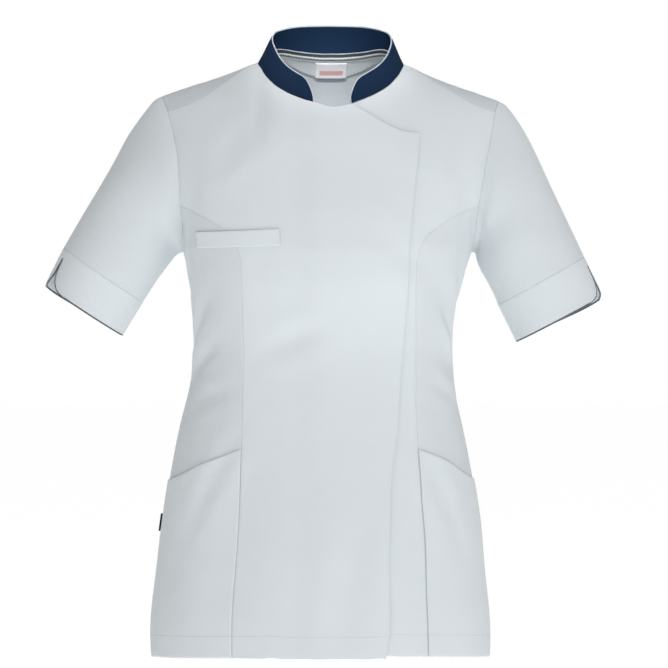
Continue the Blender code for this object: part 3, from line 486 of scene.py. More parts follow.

# %% [markdown]
# ## Folds
#
# Worn cloth is never quite smooth. It pulls towards the underarms, bags a little at the waist and
# hangs in slow waves above the hem. Each fold here is given one by one: where it lies, how it
# leans, how long, wide and deep it is, none like its neighbour. A trough has a low ridge on either
# side, because cloth that goes in somewhere comes out beside it. The first eight on each sheet are
# long and soft, and are in the solids too. The short ones after them only show in the render.

# %% Folds
# Folds of the body: angle, height, lean in degrees, half length, half width and depth of trough
FRONT_FOLDS = (
    (-66, -300, 62, 55, 15, 2.4), (64, -288, -60, 60, 15, 2.6), (-71, -372, 74, 48, 16, 2.2),
    (70, -360, -78, 50, 17, 2.4), (-30, -560, 6, 120, 26, 2.4), (38, -590, -5, 110, 24, 2.6),
    (52, -150, -32, 52, 14, 2.2), (-52, -148, 30, 50, 14, 2.0), (-80, -262, 48, 34, 8, 3.1),
    (-74, -322, 58, 40, 10, 3.6), (-60, -352, 66, 34, 9, 2.7), (-50, -398, 80, 30, 10, 2.4),
    (78, -270, -50, 34, 8, 3.1), (72, -318, -60, 38, 9, 3.4), (62, -392, -74, 32, 9, 2.4),
    (-74, -205, 36, 26, 7, 2.4), (72, -200, -34, 26, 7, 2.4), (-42, -500, 24, 60, 12, 2.7),
    (48, -520, -20, 64, 12, 3.0), (10, -620, 6, 70, 16, 3.0), (-12, -330, 70, 44, 13, 2.2),
    (30, -230, -56, 40, 13, 2.2), (-34, -110, 40, 40, 13, 2.2),
)
BACK_FOLDS = (
    (-58, -330, 70, 60, 17, 2.8), (55, -318, -68, 62, 18, 2.8), (-20, -350, 84, 70, 18, 2.2),
    (24, -385, -82, 62, 17, 2.4), (-34, -585, 8, 115, 28, 3.0), (30, -600, -7, 105, 26, 2.8),
    (-44, -180, 26, 58, 16, 2.4), (45, -172, -28, 56, 16, 2.4), (-76, -276, 52, 36, 9, 2.5),
    (-66, -356, 66, 40, 10, 2.7), (72, -268, -54, 34, 9, 2.3), (64, -372, -70, 38, 10, 2.7),
    (-10, -310, 82, 46, 13, 2.2), (14, -352, -78, 44, 12, 2.3), (-52, -520, 16, 66, 13, 2.3),
    (50, -545, -14, 60, 13, 2.3), (4, -640, 4, 66, 16, 2.2), (-62, -140, 34, 30, 9, 1.8),
    (63, -150, -30, 30, 9, 1.8),
)
MM_PER_DEGREE = 3.0
RIDGE_AWAY = 1.8
RIDGE_SHARE = 0.45
SIDE_HOLD = 1.5
FRONT_HOLD = 0.5
print("folds:", len(FRONT_FOLDS), "in front and", len(BACK_FOLDS), "behind")

# %% [markdown]
# The next functions read those tables. A smooth curve runs through the sections, so the form has
# no kinks between them. The ridge is rounded over with the same kind of curve as the sections.

# %% Smooth curves through the tables
def eased(knots, values, at):
    """A smooth curve through the values at the rising knots, level past both ends."""
    knots = np.asarray(knots, float)
    values = np.asarray(values, float)
    slope = np.gradient(values, knots)
    at = np.clip(at, knots[0], knots[-1])
    low = np.clip(np.searchsorted(knots, at) - 1, 0, len(knots) - 2)
    span = knots[low + 1] - knots[low]
    part = (at - knots[low]) / span
    rest = 1 - part
    return (
        values[low] * (1 + 2 * part) * rest**2
        + values[low + 1] * (3 - 2 * part) * part**2
        + slope[low] * span * part * rest**2
        - slope[low + 1] * span * part**2 * rest
    )


def column(table, names, name):
    """One named column of a table."""
    return np.array([row[names.index(name)] for row in table], float)


def torso_size(name, height):
    """A size of the torso's section at this height."""
    heights = column(TORSO_SECTIONS, TORSO_COLUMNS, "height")
    return eased(heights, column(TORSO_SECTIONS, TORSO_COLUMNS, name), height)


def ridge_height(across):
    """Height of the shoulder ridge at a distance across the body."""
    out = column(SHOULDER_RIDGE, RIDGE_COLUMNS, "out")
    right = eased(out, column(SHOULDER_RIDGE, RIDGE_COLUMNS, "right"), np.abs(across))
    left = eased(out, column(SHOULDER_RIDGE, RIDGE_COLUMNS, "left"), np.abs(across))
    return np.where(across < 0, right, left)


print("waist:", round(2 * float(torso_size("half_width", -340)), 1), "mm wide")

# %% [markdown]
# Now the surface itself. A fold is deepest along its own middle and fades along it and beside it.
# The form is a rounded oblong at every height, and near the ridge its depth closes in a curve of
# the same kind. Folds move it outwards or inwards last.

# %% The torso's surface
def fold_depth(angle, height, folds):
    """How far the soft folds move the cloth, inwards in a trough and outwards beside it."""
    moved = np.zeros_like(angle)
    for at_angle, at_height, lean, half_length, half_width, depth in folds:
        across = (angle - at_angle) * MM_PER_DEGREE
        up = height - at_height
        turn = math.radians(lean)
        along = up * math.cos(turn) + across * math.sin(turn)
        beside = across * math.cos(turn) - up * math.sin(turn)
        trough = np.exp(-((beside / half_width) ** 2))
        apart = (-RIDGE_AWAY, RIDGE_AWAY)
        ridges = sum(np.exp(-((beside / half_width + away) ** 2)) for away in apart)
        moved += depth * np.exp(-((along / half_length) ** 2)) * (RIDGE_SHARE * ridges - trough)
    return moved


def oblong_reach(turn):
    """How far a rounded oblong reaches at a turn, as a share of its half width and depth."""
    return (np.abs(np.sin(turn)) ** FULLNESS + np.abs(np.cos(turn)) ** FULLNESS) ** (-1 / FULLNESS)


def torso(places):
    """Points of the torso's wall at (angle, drop).

    Angle runs from the middle of the sheet to 90 degrees at the side seam, minus to the wearer's
    right. Drop runs down from the shoulder ridge, plus at the front and minus at the back.
    """
    places = np.asarray(places, float)
    angle, drop = places[..., 0], places[..., 1]
    turn = np.radians(angle)
    out = np.sin(turn) * oblong_reach(turn)
    deep = np.cos(turn) * oblong_reach(turn)
    fall = np.abs(drop)
    fall = np.where(fall < 1, fall**SHOULDER_ROUND, 1 + (fall - 1) * SHOULDER_ROUND)
    height = np.full_like(angle, FIRST_HEIGHT)
    for _ in range(HEIGHT_ROUNDS):
        across = torso_size("across", height) + torso_size("half_width", height) * out
        height = ridge_height(across) - SHOULDER_FALL * fall
    left_over = np.clip(1 - fall, 0, 1)
    rounded = (1 - left_over**SHOULDER_ROUND) ** (1 / SHOULDER_ROUND)
    front = drop >= 0
    depth = np.where(front, -torso_size("front", height), torso_size("back", height))
    in_front, behind = (fold_depth(angle, height, folds) for folds in (FRONT_FOLDS, BACK_FOLDS))
    moved = np.where(front, in_front, behind)
    facing = np.sign(depth) * deep * np.abs(deep) ** FRONT_HOLD
    sideways = out * np.abs(out) ** SIDE_HOLD
    x = across + moved * sideways
    y = torso_size("middle", height) + depth * deep * rounded + moved * facing
    return np.stack([x, y, height], axis=-1)


print("middle of the hem:", torso([[0, 6.9]])[0].round(1))

# %% [markdown]
# Two more things are asked of the surface: which way is out, for whatever lies on top, and which
# place belongs to a point that the photo shows by its distance across and its height. Some short
# helpers for lines and directions follow.

# %% Directions and places
def torso_outwards(places):
    """The direction that faces away from the wearer at each place."""
    places = np.asarray(places, float)
    step_angle = np.array([ANGLE_STEP, 0.0])
    step_drop = np.array([0.0, DROP_STEP])
    along = torso(places + step_angle) - torso(places - step_angle)
    down = torso(places + step_drop) - torso(places - step_drop)
    return unit(np.cross(down, along))


def drop_of(across, height):
    """How far down from the ridge a height is, on the scale that torso() reads."""
    fall = np.maximum((ridge_height(across) - height) / SHOULDER_FALL, 0)
    return np.where(fall < 1, fall ** (1 / SHOULDER_ROUND), 1 + (fall - 1) / SHOULDER_ROUND)


def at_across(across, height, sheet=FRONT):
    """The place on a sheet at a distance across and a height."""
    across = np.asarray(across, float)
    share = (across - torso_size("across", height)) / torso_size("half_width", height)
    share = np.clip(share, -WIDEST_SHARE, WIDEST_SHARE)
    rest = (1 - np.abs(share) ** FULLNESS) ** (1 / FULLNESS)
    return (float(np.degrees(np.arctan2(share, rest))), float(sheet * drop_of(across, height)))


def at_angle(angle, height, sheet=FRONT):
    """The place on a sheet at an angle and a height."""
    turn = math.radians(angle)
    out = math.sin(turn) * oblong_reach(turn)
    across = torso_size("across", height) + torso_size("half_width", height) * out
    return (angle, float(sheet * drop_of(across, height)))


def unit(vectors):
    """The vectors with a length of one."""
    return vectors / np.linalg.norm(vectors, axis=-1, keepdims=True)


def smooth(share):
    """A share from 0 to 1 that starts and ends gently."""
    return share**2 * (3 - 2 * share)


def run_length(points):
    """Length along a line of points, from its first point to each."""
    steps = np.linalg.norm(np.diff(points, axis=0), axis=-1)
    return np.concatenate([[0.0], np.cumsum(steps)])


print("underarm, front:", at_angle(80, -226))

# %% [markdown]
# ## Seams
#
# A pattern cutter draws seams first and panels second. A seam here is a smooth line on the torso
# through a few places, divided as finely as the cloth needs. The tables give the armholes, the
# shoulder seams, the princess seams, the neckline and the slanted free edge of the front, as
# across and height.

# %% Armholes, shoulder seams and princess seams
# The armholes, from the ridge down to the underarm, by angle from the middle of the sheet.
ARMHOLE_FRONT = (
    (-60, 61.0, 63.5), (-83, 58.1, 62.2), (-107, 56.6, 61.2), (-130, 57.6, 61.4),
    (-152, 61.0, 64.0), (-172, 65.5, 68.0), (-190, 70.8, 73.0), (-206, 76.5, 78.0),
    (-218, 83.0, 83.5),
)
ARMHOLE_RIDGE = (66.0, 66.4)
ARMHOLE_BACK = (
    (-58, 61.5), (-82, 58.5), (-108, 57.5), (-136, 58.5), (-162, 62.0), (-186, 68.0),
    (-206, 76.0), (-219, 83.5),
)
UNDERARM = -226
SHOULDER_SEAM_KNOT = 0
PRINCESS_KNOT = 5
PRINCESS_LOW_KNOT = 4
YOKE_KNOT = 2

# The shoulder seams, from the armhole to the neck: out from the middle, height.
SHOULDER_SEAM = {
    "right": ((167.6, -50.7), (149.9, -42.1), (126.2, -25.6), (108.5, -12.4), (96.5, -4.6)),
    "left": ((171.0, -50.4), (150.5, -38.6), (128.0, -25.4), (110.0, -14.2), (97.0, -6.6)),
}

# The princess seams, from the hem to just under the armhole: across, height.
PRINCESS = {
    "right": (
        (-115.1, -704.5), (-114.0, -636.5), (-110.0, -585), (-106.6, -520), (-104.2, -440),
        (-102.9, -373), (-103.2, -310), (-104.4, -262), (-107.3, -229), (-114.3, -213),
        (-127.5, -200.5), (-145.0, -189.0), (-163.0, -179.5),
    ),
    "left": (
        (114.7, -703.5), (113.6, -648.0), (112.3, -585), (107.3, -520), (102.8, -450),
        (101.0, -373), (100.6, -310), (101.0, -262), (103.5, -229), (110.5, -213),
        (123.0, -200.5), (140.5, -189.5), (158.0, -180.0),
    ),
}

print("princess seams:", len(PRINCESS["right"]), "points each")

# %% [markdown]
# The neckline and the top edge of the collar follow the photo in front. Behind, where only their
# inner side shows, they follow what such a collar needs.

# %% Neckline and collar
# The neckline from the front ends of the collar to the middle of the back: across and height on the
# wearer's right, the same on the left, and the sheet.
NECKLINE = (
    (-20.6, -52.7, 25.4, -53.9, FRONT),
    (-28.8, -50.0, 33.5, -50.9, FRONT),
    (-39.5, -45.8, 43.5, -46.6, FRONT),
    (-53.8, -38.9, 56.2, -40.2, FRONT),
    (-64.5, -32.0, 67.5, -32.8, FRONT),
    (-74.3, -22.1, 76.7, -22.9, FRONT),
    (-81.6, -10.6, 83.6, -12.6, FRONT),
    (-85.0, 1.0, 86.0, -1.4, FRONT),
    (-79.5, 6.2, 80.5, 4.6, BACK),
    (-64.0, 13.0, 66.0, 12.0, BACK),
    (-37.0, 11.0, 39.5, 10.6, BACK),
    (1.5, 9.0, 1.5, 9.0, BACK),
)
NECK_POINT = 7
FRONT_MIDDLE = (3.0, -59.3)

# The top edge of the collar, row for row with the neckline: across and height on the right, the
# same on the left, and depth.
COLLAR_TOP = (
    (-21.6, -46.5, 24.9, -47.0, -76),
    (-24.0, -36.5, 27.4, -36.0, -70),
    (-30.5, -23.5, 33.2, -24.2, -61),
    (-41.5, -15.6, 43.6, -16.6, -52),
    (-51.7, -7.8, 54.2, -9.6, -43),
    (-60.5, 2.6, 63.4, -0.6, -31),
    (-66.6, 14.2, 69.6, 9.6, -17),
    (-70.2, 25.2, 73.4, 21.6, -2),
    (-69.2, 33.6, 72.6, 31.4, 13),
    (-61.5, 39.8, 65.0, 38.6, 28),
    (-38.0, 45.6, 41.0, 45.2, 43),
    (1.5, 47.2, 1.5, 47.2, 50),
)

print("neckline:", len(NECKLINE), "places on each side")

# %% [markdown]
# The upper front ends in a free edge that runs down the wearer's left in a slight bow, and the
# lower front is hidden under it. Pockets, welt, tab, tape and label each have a few sizes of their
# own.

# %% Free edges, pockets and labels
# The free edge of the upper front, its slanted top, and the hidden edge of the lower front.
FREE_EDGE = (
    (64.2, -704.6), (67.4, -682), (67.8, -600), (69.4, -531), (71.4, -490), (76.4, -455),
    (80.6, -391), (85.3, -332), (89.6, -274), (93.4, -204), (98.6, -151), (102.8, -115),
    (104.4, -89.2),
)
FREE_TOP = ((104.4, -89.2), (85.5, -87.6), (67.8, -80.6), (49.0, -69.6), (25.4, -55.4))
HIDDEN_EDGE = ((0.0, -701.4), (4.0, -560), (8.0, -400), (11.0, -240), (14.0, -57.6))
# The guides run from the neck points to the hem and keep the columns of the fronts from crossing.
GUIDE = {
    "right": ((-76.0, -704.4), (-70.0, -400.0), (-78.0, -200.0), (-86.5, -80.0), (-88.0, -30.0)),
    "left": ((72.0, -702.0), (76.0, -400.0), (80.0, -200.0), (88.5, -80.0), (89.5, -32.0)),
}
OVERLAP_FROM = -45
OVERLAP_TO = -6

# The side seams and their vents
VENT_TOP = -650
HEM_SIDE = -710
HEM_BACK = -712
VENT_ANGLE = 76
YOKE_SEAM_HEIGHT = -105

# Pockets and labels
POCKET_MOUTH = {
    "right": ((-120.6, -466.4), (-139.8, -474.4), (-154.3, -481.0), (-168.0, -488.6)),
    "left": ((118.0, -466.0), (133.0, -473.6), (143.0, -480.0), (153.0, -488.0)),
}
POCKET_TOP = -460.4
POCKET_SIDE = -500
POCKET_INSET = 0.4
WELT_TOP = ((-158.0, -204.6), (-108.0, -204.2), (-60.0, -202.4))
WELT_BOTTOM = ((-156.0, -223.6), (-108.0, -223.4), (-58.6, -222.4))
FLAG_HEIGHTS = (-562, -541)
FLAG_ANGLES = (-89.6, -85.6)
FLAG_LIFTS = (3.1, 4.4)
FLAG_ROWS = 9
FLAG_COLUMNS = 7
FACING_FROM = 4.5
FACING_DEPTHS = (8.0, 17.0, 24.0, 28.5, 30.2, 28.5, 24.0, 17.0, 8.0)
LABEL_DEPTHS = (5.2, 28.8)
TAPE_UP = 3.2
TAPE_DOWN = 4.0
TAPE_PIPING_RADIUS = 0.6
TAPE_PIPING_IN = 0.5
COLLAR_PIPING_RADIUS = 0.8
print("free edge:", len(FREE_EDGE), "points from hem to neck")

# %% [markdown]
# Every piece is a grid of points. The numbers of rows and columns all hang on one number, so the
# cloth can be made finer or coarser as a whole, and neighbours still share their points.

# %% How finely the cloth is divided
FINE = 5
DRAWN_STEPS = 8
SIDE_ROWS_LOW = 8 * FINE
SIDE_ROWS_HIGH = 10 * FINE
SIDE_COLUMNS = 6 * FINE
ARM_STEPS = 6 * FINE
SHOULDER_COLUMNS = 5 * FINE
FREE_TOP_COLUMNS = 4 * FINE
NECK_STEPS = FINE
NECK_GAP_COLUMNS = 3 * FINE
HIDDEN_COLUMNS = FINE
WELT_COLUMNS = 6 * FINE
WELT_ROWS = 2 * FINE
COLLAR_ROWS = 10
CUFF_COLUMNS = 120
SLEEVE_ROWS = 42
RELAX_WIDTH = 12
RELAX_ROUNDS = 8

print("rows up a side front:", SIDE_ROWS_LOW + SIDE_ROWS_HIGH)

# %% [markdown]
# A seam is kept as a few knots and read as a smooth line. It knows its real length, so that it can
# be divided evenly, as with a tape measure laid along it.

# %% Seams
class Seam:
    """A smooth line on the torso through knots of (angle, drop)."""

    STEPS = 900

    def __init__(self, knots):
        self.knots = np.array(knots, float)
        self.at = run_length(torso(self.knots))
        self.fine = np.linspace(0, self.at[-1], self.STEPS)
        self.path = self.read(self.fine)
        self.length = run_length(torso(self.path))

    def read(self, at):
        return np.column_stack([eased(self.at, self.knots[:, part], at) for part in (0, 1)])

    def even(self, count, first=0, last=-1):
        """Evenly spaced places between two of the knots."""
        ends = np.interp(self.at[[first, last]], self.fine, self.length)
        wanted = np.linspace(ends[0], ends[1], count + 1)
        return self.read(np.interp(wanted, self.length, self.fine))

    def by_knot(self, first, last, each=1):
        """Places at the knots from one to another, each span divided evenly."""
        return self.at_index(np.linspace(first, last, abs(last - first) * each + 1))

    def at_index(self, index):
        return self.read(np.interp(index, np.arange(len(self.knots)), self.at))


def joined(*edges):
    """Edges that follow each other, as one edge."""
    return np.concatenate([edges[0]] + [edge[1:] for edge in edges[1:]])


def drawn(knots, sheet=FRONT):
    """A seam drawn smoothly through points of (across, height)."""
    knots = np.array(knots, float)
    at = run_length(knots)
    fine = np.linspace(0, at[-1], DRAWN_STEPS * (len(knots) - 1) + 1)
    across, heights = (eased(at, knots[:, part], fine) for part in (0, 1))
    return Seam([at_across(*point, sheet) for point in zip(across, heights)])


def level(places, sheet=FRONT):
    """A seam between places whose height changes evenly with the angle."""
    places = np.array(places, float)
    heights = torso(places)[:, 2]
    angles = places[:, 0]
    order = np.linspace(0, len(places) - 1, DRAWN_STEPS * (len(places) - 1) + 1)
    angles, heights = (np.interp(order, np.arange(len(places)), part) for part in (angles, heights))
    return Seam([at_angle(angle, height, sheet) for angle, height in zip(angles, heights)])


def armhole_seam(side):
    """One armhole as a line from the underarm up the front, over the ridge and down the back."""
    sign = SIDES[side]
    pick = 1 if side == "right" else 2
    front = [at_angle(sign * row[pick], row[0]) for row in ARMHOLE_FRONT]
    back = [at_angle(sign * row[1], row[0], BACK) for row in ARMHOLE_BACK]
    ridge = (sign * ARMHOLE_RIDGE[pick - 1], 0.0)
    low_front = at_angle(sign * 90, UNDERARM)
    low_back = at_angle(sign * 90, UNDERARM, BACK)
    return Seam([low_front] + front[::-1] + [ridge] + back + [low_back])


def neckline_seam():
    """The whole neckline, from the front right end round the back to the front left end."""
    right = [at_across(*row[:2], row[4]) for row in NECKLINE]
    left = [at_across(*row[2:4], row[4]) for row in NECKLINE]
    return Seam(right + left[-2::-1])


print("left armhole:", round(armhole_seam("left").length[-1]), "mm round")

# %% [markdown]
# ## Panels
#
# A panel fills the space between four seams. Its inner places are blended from all four edges,
# which is how a draper would smooth cloth between pinned edges. The upper front is blended in two
# halves that meet in a line from the neck point to the hem, because its top edge turns a sharp
# corner there.

# %% Filling panels
SHARPEST_CORNER = 0.25


def shares(first, second):
    """The mean share of the way along two opposite edges at each of their places."""
    lengths = [run_length(torso(edge)) for edge in (first, second)]
    return sum(length / length[-1] for length in lengths) / 2


def patch(bottom, top, left, right):
    """Places that fill the space between four edges."""
    u = shares(bottom, top)[None, :, None]
    v = shares(left, right)[:, None, None]
    between = (1 - v) * bottom[None] + v * top[None] + (1 - u) * left[:, None] + u * right[:, None]
    low, high = ((1 - u) * edge[0] + u * edge[-1] for edge in (bottom, top))
    return between - ((1 - v) * low + v * high)


def grid_normals(points, closed=False):
    """The normal of a grid of points: the way round from its columns' direction to its rows'."""
    up = np.gradient(points, axis=0)
    if closed:
        along = np.roll(points, -1, axis=1) - np.roll(points, 1, axis=1)
    else:
        along = np.gradient(points, axis=1)
    return unit(np.cross(along, up))


def inset_loop(loop, normals, distance):
    """A closed line moved inwards across the surface that it bounds, with its corners square."""
    steps = np.roll(loop, -1, axis=0) - loop
    across = unit(np.cross(normals + np.roll(normals, -1, axis=0), steps))
    before = np.roll(across, 1, axis=0)
    spread = 1 + np.sum(across * before, axis=-1, keepdims=True)
    return loop + distance * (across + before) / np.maximum(spread, SHARPEST_CORNER)


def outline_order(rows, columns):
    """Rows and columns of a grid's outline, starting along its first row."""
    order = [(0, c) for c in range(columns)]
    order += [(r, columns - 1) for r in range(1, rows)]
    order += [(rows - 1, c) for c in range(columns - 2, -1, -1)]
    order += [(r, 0) for r in range(rows - 2, 0, -1)]
    return zip(*order)


def panel(places, lift=None, inset=PANEL_TRIM):
    """The points of a piece of the body, moved out by its lift, with its edges drawn in."""
    outwards = torso_outwards(places)
    points = torso(places)
    if lift is not None:
        points = points + outwards * np.broadcast_to(lift, points.shape[:2])[..., None]
    rows_of, columns_of = outline_order(*points.shape[:2])
    facing = np.sign(np.sum(grid_normals(points) * outwards))
    normals = facing * outwards[rows_of, columns_of]
    points[rows_of, columns_of] = inset_loop(points[rows_of, columns_of], normals, inset)
    return points

print("four edges make a panel")

# %% [markdown]
# Neighbouring panels need the same points on the seam between them, or gaps open. So each shared
# seam is drawn and divided once, here, and every panel takes it from this one place.

# %% The tunic's seams
class Tunic:
    """The seams that the pieces share, each divided once, so that neighbours always meet."""

    def __init__(self):
        self.neckline = neckline_seam()
        self.neck_right = NECK_POINT
        self.neck_left = len(self.neckline.knots) - 1 - NECK_POINT
        self.arm_lower, self.arm_upper, self.arm_yoke, self.arm_back = {}, {}, {}, {}
        self.princess_low, self.princess_high, self.mouth, self.shoulder = {}, {}, {}, {}
        self.side_front, self.side_back = {}, {}
        front_count = len(ARMHOLE_FRONT)
        junction = front_count - PRINCESS_KNOT
        shoulder = front_count - SHOULDER_SEAM_KNOT
        yoke = front_count + 2 + YOKE_KNOT
        for side in SIDES:
            armhole = armhole_seam(side)
            self.arm_lower[side] = armhole.even(SIDE_COLUMNS, 0, junction)
            self.arm_upper[side] = armhole.even(ARM_STEPS, junction, shoulder)
            self.arm_yoke[side] = armhole.even(ARM_STEPS, yoke, shoulder)
            self.arm_back[side] = armhole.even(ARM_STEPS, len(armhole.knots) - 1, yoke)
            self.divide_front(side, armhole.knots[junction])
            self.divide_shoulder(side, armhole.knots[shoulder])

    def divide_front(self, side, junction):
        """The princess seam, the side seam and the pocket's mouth between them."""
        sign = SIDES[side]
        knots = [at_across(across, height) for across, height in PRINCESS[side]]
        across, heights = zip(*PRINCESS[side])
        mouth_inner = at_across(np.interp(POCKET_TOP, heights, across), POCKET_TOP)
        low = PRINCESS_LOW_KNOT
        seam = Seam(knots[:low] + [mouth_inner] + knots[low:] + [tuple(junction)])
        self.princess_low[side] = seam.even(SIDE_ROWS_LOW, 0, low)
        self.princess_high[side] = seam.even(SIDE_ROWS_HIGH, low, -1)
        low_heights = np.linspace(HEM_SIDE, POCKET_SIDE, SIDE_ROWS_LOW + 1)
        high_heights = np.linspace(UNDERARM, POCKET_SIDE, SIDE_ROWS_HIGH + 1)[::-1]
        opened = np.clip((VENT_TOP - low_heights) / (VENT_TOP - HEM_SIDE), 0, 1)
        turned = 90 - (90 - VENT_ANGLE) * opened
        low_part = np.array([at_angle(sign * a, h) for a, h in zip(turned, low_heights)])
        high = np.array([at_angle(sign * 90, h) for h in high_heights])
        self.side_front[side] = (low_part, high)
        back_heights = np.concatenate([low_heights, high_heights[1:]])
        self.side_back[side] = np.array([at_angle(sign * 90, h, BACK) for h in back_heights])
        mouth = [mouth_inner] + [at_across(a, h) for a, h in POCKET_MOUTH[side]] + [tuple(high[0])]
        self.mouth[side] = Seam(mouth).even(SIDE_COLUMNS)

    def neck_point(self, side):
        """The place where the shoulder seam meets the neckline."""
        return tuple(self.neckline.knots[self.neck_right if side == "right" else self.neck_left])

    def outer_edge(self, side):
        """A front's edge along the princess seam and the armhole, up to the shoulder seam."""
        return joined(self.princess_low[side], self.princess_high[side], self.arm_upper[side])

    def guide(self, side, count):
        """The line from the hem to a neck point that the columns of a front follow."""
        neck = self.neck_point(side)
        line = drawn(GUIDE[side])
        return Seam([tuple(place) for place in line.knots] + [neck]).even(count)

    def divide_shoulder(self, side, corner):
        """The shoulder seam, from the armhole to the neck point."""
        sign = SIDES[side]
        neck = self.neck_point(side)
        middle = [at_across(sign * out, height) for out, height in SHOULDER_SEAM[side]]
        self.shoulder[side] = Seam([tuple(corner)] + middle + [neck]).even(SHOULDER_COLUMNS)

tunic = Tunic()
print("shared seams are drawn and divided")

# %% [markdown]
# Each panel is now a matter of naming its four edges. The side fronts are made in two parts, so
# that the pocket can take the lower part's places.

# %% The panels of the body
def front_side(tunic, side):
    """The places of one front side panel: those below the pocket's mouth, then those above it."""
    low_part, high = tunic.side_front[side]
    hem_inner = tunic.princess_low[side][0]
    hem = level([low_part[0], hem_inner]).even(SIDE_COLUMNS)
    mouth = tunic.mouth[side][::-1]
    top = tunic.arm_lower[side]
    edges = [(hem, mouth, low_part, tunic.princess_low[side])]
    edges.append((mouth, top, high, tunic.princess_high[side]))
    if side == "left":
        edges = [(bottom[::-1], above[::-1], inner, outer) for bottom, above, outer, inner in edges]
    low, upper = (patch(*four) for four in edges)
    return low, upper


def front_right(tunic):
    """The upper front, from the wearer's right across to its free edge."""
    neck = tunic.neckline.by_knot(NECK_POINT, 0, FINE)
    gap = drawn([NECKLINE[0][:2], FRONT_MIDDLE, FREE_TOP[-1]]).even(NECK_GAP_COLUMNS)
    free_top = drawn(FREE_TOP).even(FREE_TOP_COLUMNS)[::-1]
    neck_to_edge = joined(neck, gap, free_top)
    left = tunic.outer_edge("right")
    guide = tunic.guide("right", len(left) - 1)
    right = drawn(FREE_EDGE).even(len(left) - 1)
    hem = drawn([PRINCESS["right"][0], GUIDE["right"][0]]).even(SHOULDER_COLUMNS)
    hem_to_edge = drawn([GUIDE["right"][0], FREE_EDGE[0]]).even(len(neck_to_edge) - 1)
    under_shoulder = patch(hem, tunic.shoulder["right"], left, guide)
    under_neck = patch(hem_to_edge, neck_to_edge, guide, right)
    whole = np.concatenate([under_shoulder, under_neck[:, 1:]], axis=1)
    return relaxed(whole, SHOULDER_COLUMNS)


def front_left(tunic):
    """The lower front, from its hidden edge to the wearer's left."""
    last = len(tunic.neckline.knots) - 1
    neck = tunic.neckline.by_knot(last, tunic.neck_left, FINE)
    start = drawn([HIDDEN_EDGE[-1], NECKLINE[0][2:4]]).even(HIDDEN_COLUMNS)
    edge_to_neck = joined(start, neck)
    right = tunic.outer_edge("left")
    guide = tunic.guide("left", len(right) - 1)
    left = drawn(HIDDEN_EDGE).even(len(right) - 1)
    hem = drawn([GUIDE["left"][0], PRINCESS["left"][0]]).even(SHOULDER_COLUMNS)
    edge_to_hem = drawn([HIDDEN_EDGE[0], GUIDE["left"][0]]).even(len(edge_to_neck) - 1)
    under_neck = patch(edge_to_hem, edge_to_neck, left, guide)
    under_shoulder = patch(hem, tunic.shoulder["left"][::-1], guide, right)
    whole = np.concatenate([under_neck, under_shoulder[:, 1:]], axis=1)
    return relaxed(whole, under_neck.shape[1] - 1)


def yoke_seam(tunic):
    """The seam between the back and the yoke."""
    middle = at_across(0, YOKE_SEAM_HEIGHT, BACK)
    return level([tunic.arm_yoke["right"][0], middle, tunic.arm_yoke["left"][0]], BACK)


def back(tunic):
    """The back, from side seam to side seam and up to the yoke."""
    left, right = (joined(tunic.side_back[side], tunic.arm_back[side]) for side in SIDES)
    hem = level([left[0], at_across(0, HEM_BACK, BACK), right[0]], BACK)
    columns = 2 * SHOULDER_COLUMNS + NECK_STEPS * (tunic.neck_left - tunic.neck_right)
    return patch(hem.even(columns), yoke_seam(tunic).even(columns), left, right)


def yoke(tunic):
    """The yoke, which wraps over both shoulders to the front seams."""
    neck = tunic.neckline.by_knot(tunic.neck_right, tunic.neck_left, NECK_STEPS)
    top = joined(tunic.shoulder["right"], neck, tunic.shoulder["left"][::-1])
    bottom = yoke_seam(tunic).even(len(top) - 1)
    return patch(bottom, top, tunic.arm_yoke["right"], tunic.arm_yoke["left"])


def overlap_lift(points):
    """How far the upper front stands off the torso's wall to clear the lower front."""
    share = np.clip((points[..., 0] - OVERLAP_FROM) / (OVERLAP_TO - OVERLAP_FROM), 0, 1)
    return (CLOTH + OVERLAP_GAP) * smooth(share)


def relaxed(places, middle):
    """Evens out a grid near one of its columns. Its outline stays as it is."""
    columns = np.arange(places.shape[1])
    share = np.exp(-(((columns - middle) / RELAX_WIDTH) ** 2))[None, 1:-1, None]
    for _ in range(RELAX_ROUNDS):
        near = places[:-2, 1:-1] + places[2:, 1:-1] + places[1:-1, :-2] + places[1:-1, 2:]
        places[1:-1, 1:-1] += share * (near / 4 - places[1:-1, 1:-1])
    return places


print("yoke:", " x ".join(str(count) for count in yoke(tunic).shape[:2]), "points")

# %% [markdown]
# ## From points to cloth
#
# Each piece of cloth starts as a grid of points on its middle. Two extra lines of points run close
# to every edge, and the edge itself dips a little towards the wearer, as cloth does where it is
# turned in and sewn. The facing and the label are seen from the inside, so theirs dip the other
# way. The grid also measures itself: how far each point lies along the threads, in metres, which
# becomes the map that the weave follows. A wall then gives the cloth its thickness. Last, the
# piece rides on the body, stands for its solid, and says the size that it was cut to.

# %% Edges of cloth
LEAST_CUT = 0.0101
EDGE_LINES = (0.8, 2.6)
EDGE_SHARES = (0.3, 0.75)
EDGE_DIPS = (0.38, 0.1)
# How strongly the edges of a piece dip, where that isn't 1
DIPS = {
    "front_right": 0.2, "hip_pocket_right": 1.5, "hip_pocket_left": 1.5, "chest_welt": 0.6,
    "flag_tab": 0.3, "cuff_right": 0.6, "cuff_left": 0.6, "collar": 0.5, "neck_tape": 0.2,
    "neck_facing": -1.2, "neck_label": -1.0,
}
TORSO_CENTRE = (0.0, 5.0, -300.0)
NECK_CENTRE = (1.5, 0.0, 0.0)
# The way inwards from an edge is read over this many points, and its slant is never taken as less
INWARD_POINTS = 4
LEAST_SLANT = 0.4

pieces = {}


def middle_of(points):
    """The mean of a grid's points."""
    return points.reshape(-1, 3).mean(axis=0)


def along_line(distance, at, line):
    """The point at a distance along a line whose points lie at known distances."""
    return [np.interp(distance, at, line[:, part]) for part in range(3)]


